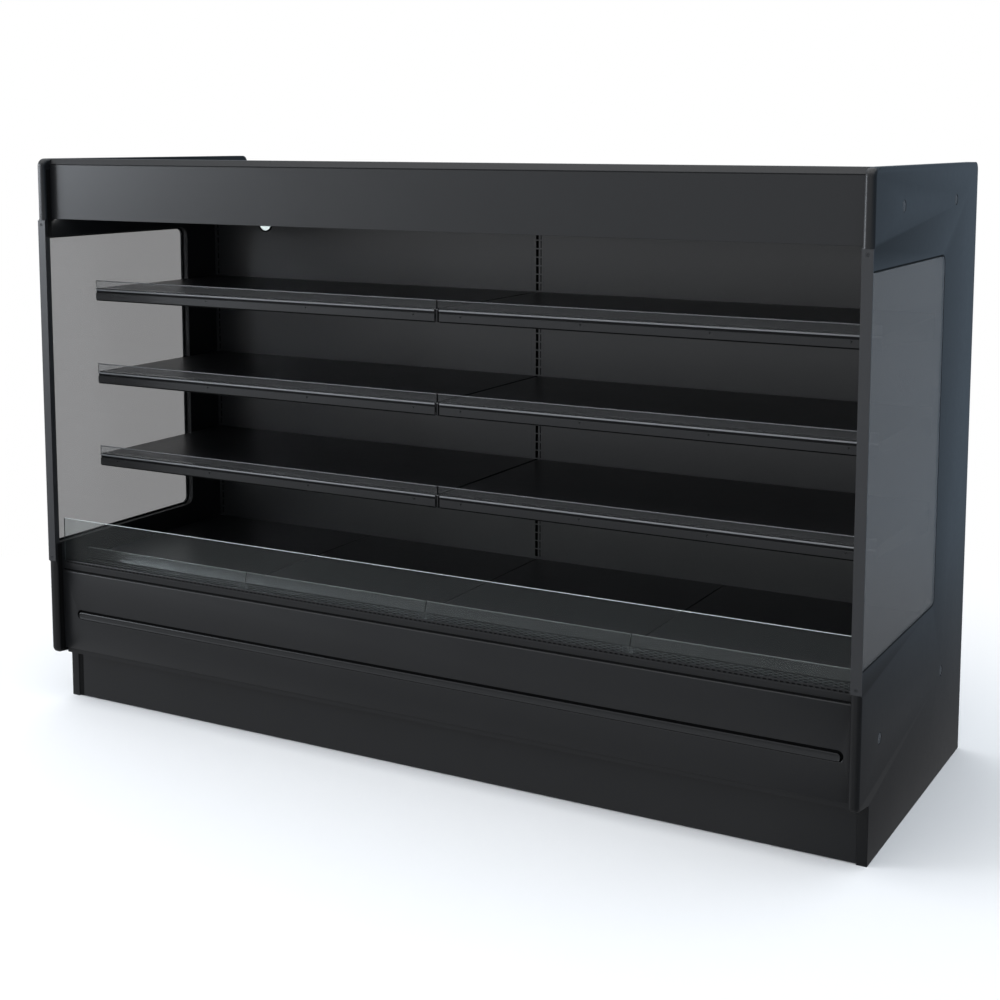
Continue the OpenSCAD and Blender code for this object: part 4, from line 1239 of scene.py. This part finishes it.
def coilFins(settings):
    low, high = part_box("evaporator_coil")
    plate, margin = settings["plate"], settings["margin"]
    bm = bmesh.new()
    for x in (low.x, high.x - plate):
        addBox(bm, (x, low.y, low.z), (x + plate, high.y, high.z))
    count = int((high.x - low.x) / settings["finPitch"])
    step = (high.x - low.x) / count
    for i in range(1, count):
        x = low.x + i * step
        addBox(bm, (x, low.y + margin, low.z + settings["foot"]),
               (x + settings["fin"], high.y - margin, high.z - margin))
    return bm


def coilTubes(settings):
    low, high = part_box("evaporator_coil")
    foot, r, long = settings["foot"], settings["tube"], high.x - low.x - 0.0006
    row = (high.z - low.z - foot) / settings["rows"]
    column = (high.y - low.y) / settings["columns"]
    bm = bmesh.new()
    for i in range(settings["rows"]):
        for j in range(settings["columns"]):
            centre = (low.x + 0.0003, low.y + (j + 0.5) * column, low.z + foot + (i + 0.5) * row)
            addLathe(bm, centre, (1, 0, 0), [(0, 0), (r, 0), (r, long), (0, long)], 20)
    return bm


makePiece("coilFins", coilFins(coilSettings), "fins", "evaporator_coil", sharp=30)
makePiece("coilTubes", coilTubes(coilSettings), "copper", sharp=40)
print("coil made")


# Camera, floor and light

cameraSettings = {"place": (2.28421, -4.01249, 1.70032), "yaw": 28.73, "pitch": -6.82, "roll": 0.10,
                  "focal": 1638.43, "middle": (514.85, 333.72), "picture": 1000}


def makeCamera(settings):
    data = bpy.data.cameras.new("camera")
    data.sensor_width = 36
    data.lens = settings["focal"] / settings["picture"] * 36
    data.shift_x = (settings["picture"] / 2 - settings["middle"][0]) / settings["picture"]
    data.shift_y = (settings["middle"][1] - settings["picture"] / 2) / settings["picture"]
    data.clip_end = 200
    camera = addObject("camera", data)
    turn = Matrix.Rotation(math.radians(settings["yaw"]), 4, "Z")
    tilt = Matrix.Rotation(math.radians(90 + settings["pitch"]), 4, "X")
    roll = Matrix.Rotation(math.radians(settings["roll"]), 4, "Z")
    camera.matrix_world = Matrix.Translation(settings["place"]) @ turn @ tilt @ roll
    bpy.context.scene.camera = camera


# the floor's look in reflections is a painted glow, dimmer to the right as painted shadow of the case
floorSettings = {"radius": 9.0, "fade": (1.2, 2.8), "clear": (3.6, 6.5), "clearFrom": (2.0, 1.5, 0),
                 "color": (0.94, 0.94, 0.94, 1), "roughness": 0.9, "turn": (0.9, 1.4),
                 "paintedReflectionColors": ((0.40, 0.405, 0.415, 1), (0.15, 0.153, 0.16, 1))}


def easeBetween(tree, value, start, stop):
    inputs = {"Value": value, "From Min": start, "From Max": stop}
    return addNode(tree, "ShaderNodeMapRange", inputs, interpolation_type="SMOOTHSTEP").outputs["Result"]


def easeAround(tree, vector, start, stop):
    reach = addNode(tree, "ShaderNodeVectorMath", {0: vector}, operation="LENGTH")
    return easeBetween(tree, reach.outputs["Value"], start, stop)


def seenDirectly(tree, path):
    return addMath(tree, "MAXIMUM", path["Is Camera Ray"], path["Is Transmission Ray"])


def floorMaterial(settings):
    material = bpy.data.materials.new("paleFloor")
    material.use_nodes = True
    tree = material.node_tree
    shader = tree.nodes["Principled BSDF"]
    setInputs(tree, shader, {"Base Color": settings["color"], "Roughness": settings["roughness"],
                             "Specular IOR Level": 0.0})
    path = addNode(tree, "ShaderNodeLightPath").outputs
    place = addNode(tree, "ShaderNodeTexCoord").outputs["Object"]
    split = addNode(tree, "ShaderNodeSeparateXYZ", {0: place})
    shift = addNode(tree, "ShaderNodeVectorMath", {0: place, 1: settings["clearFrom"]})
    near = easeAround(tree, place, *settings["fade"])
    far = easeAround(tree, shift.outputs["Vector"], *settings["clear"])
    shade = mixColors(tree, easeBetween(tree, split.outputs["X"], *settings["turn"]), *settings["paintedReflectionColors"])
    dim = addNode(tree, "ShaderNodeEmission", {"Color": shade}).outputs["Emission"]
    clear = addNode(tree, "ShaderNodeBsdfTransparent").outputs["BSDF"]
    paintedReflectionShader = mixShaders(tree, far, dim, clear)  # painted reflection: a glow seen only in reflections, darker on the right as painted shadow of the case, fading to the studio
    lit = mixShaders(tree, path["Is Glossy Ray"], shader.outputs["BSDF"], paintedReflectionShader)
    share = addMath(tree, "MULTIPLY", near, seenDirectly(tree, path))
    white = addNode(tree, "ShaderNodeEmission").outputs["Emission"]
    faded = mixShaders(tree, share, lit, white)  # to the white backdrop, away from the case
    setInputs(tree, tree.nodes["Material Output"], {"Surface": faded})
    return material


def makeFloor(settings):
    bm = bmesh.new()
    bmesh.ops.create_circle(bm, cap_ends=True, segments=96, radius=settings["radius"])
    floor = addObject("floor", meshFromBm("floor", bm))
    floor.data.materials.append(floorMaterial(settings))


worldSettings = {"dim": (0.25, 0.325, 0.41, 1), "bright": (0.85, 0.87, 0.90, 1),
                 "toward": (-0.75, -0.62, 0.25), "reach": (-0.5, 1.0)}


def makeWorld(settings):
    world = bpy.data.worlds.new("studio")
    bpy.context.scene.world = world
    world.use_nodes = True
    tree = world.node_tree
    tree.nodes.clear()
    inputs = {0: addNode(tree, "ShaderNodeTexCoord").outputs["Generated"],
              1: Vector(settings["toward"]).normalized()}
    dot = addNode(tree, "ShaderNodeVectorMath", inputs, operation="DOT_PRODUCT")
    reach = easeBetween(tree, dot.outputs["Value"], *settings["reach"])
    shade = mixColors(tree, reach, settings["dim"], settings["bright"])
    soft, white = [addNode(tree, "ShaderNodeBackground", {"Color": color}).outputs["Background"]
                   for color in (shade, (1, 1, 1, 1))]
    path = addNode(tree, "ShaderNodeLightPath").outputs
    mix = mixShaders(tree, seenDirectly(tree, path), soft, white)
    addNode(tree, "ShaderNodeOutputWorld", {"Surface": mix})


softboxes = {
    "leftSoftbox": {"place": (-7.1, -4.2, 2.5), "aim": (0, 0, 1.5), "size": (3.0, 2.6), "power": 300,
                    "color": (0.90, 0.96, 1.04)},
    "topSoftbox": {"place": (0.5, -0.5, 7.5), "aim": (0.5, -0.5, 0), "size": (13, 12), "power": 640,
                   "color": (1.0, 1.0, 1.0)},
}


def makeSoftbox(name, settings):
    data = bpy.data.lights.new(name, "AREA")
    data.shape = "RECTANGLE"
    data.size, data.size_y = settings["size"]
    data.energy = settings["power"]
    data.color = settings["color"]
    lamp = addObject(name, data)
    way = (Vector(settings["aim"]) - Vector(settings["place"])).to_track_quat("-Z", "Y")
    lamp.matrix_world = Matrix.Translation(settings["place"]) @ way.to_matrix().to_4x4()
    lamp.visible_camera = False


makeFloor(floorSettings)
makeWorld(worldSettings)
for name, settings in softboxes.items():
    makeSoftbox(name, settings)
makeCamera(cameraSettings)
bpy.context.scene.view_settings.view_transform = "Standard"
print("stage made")
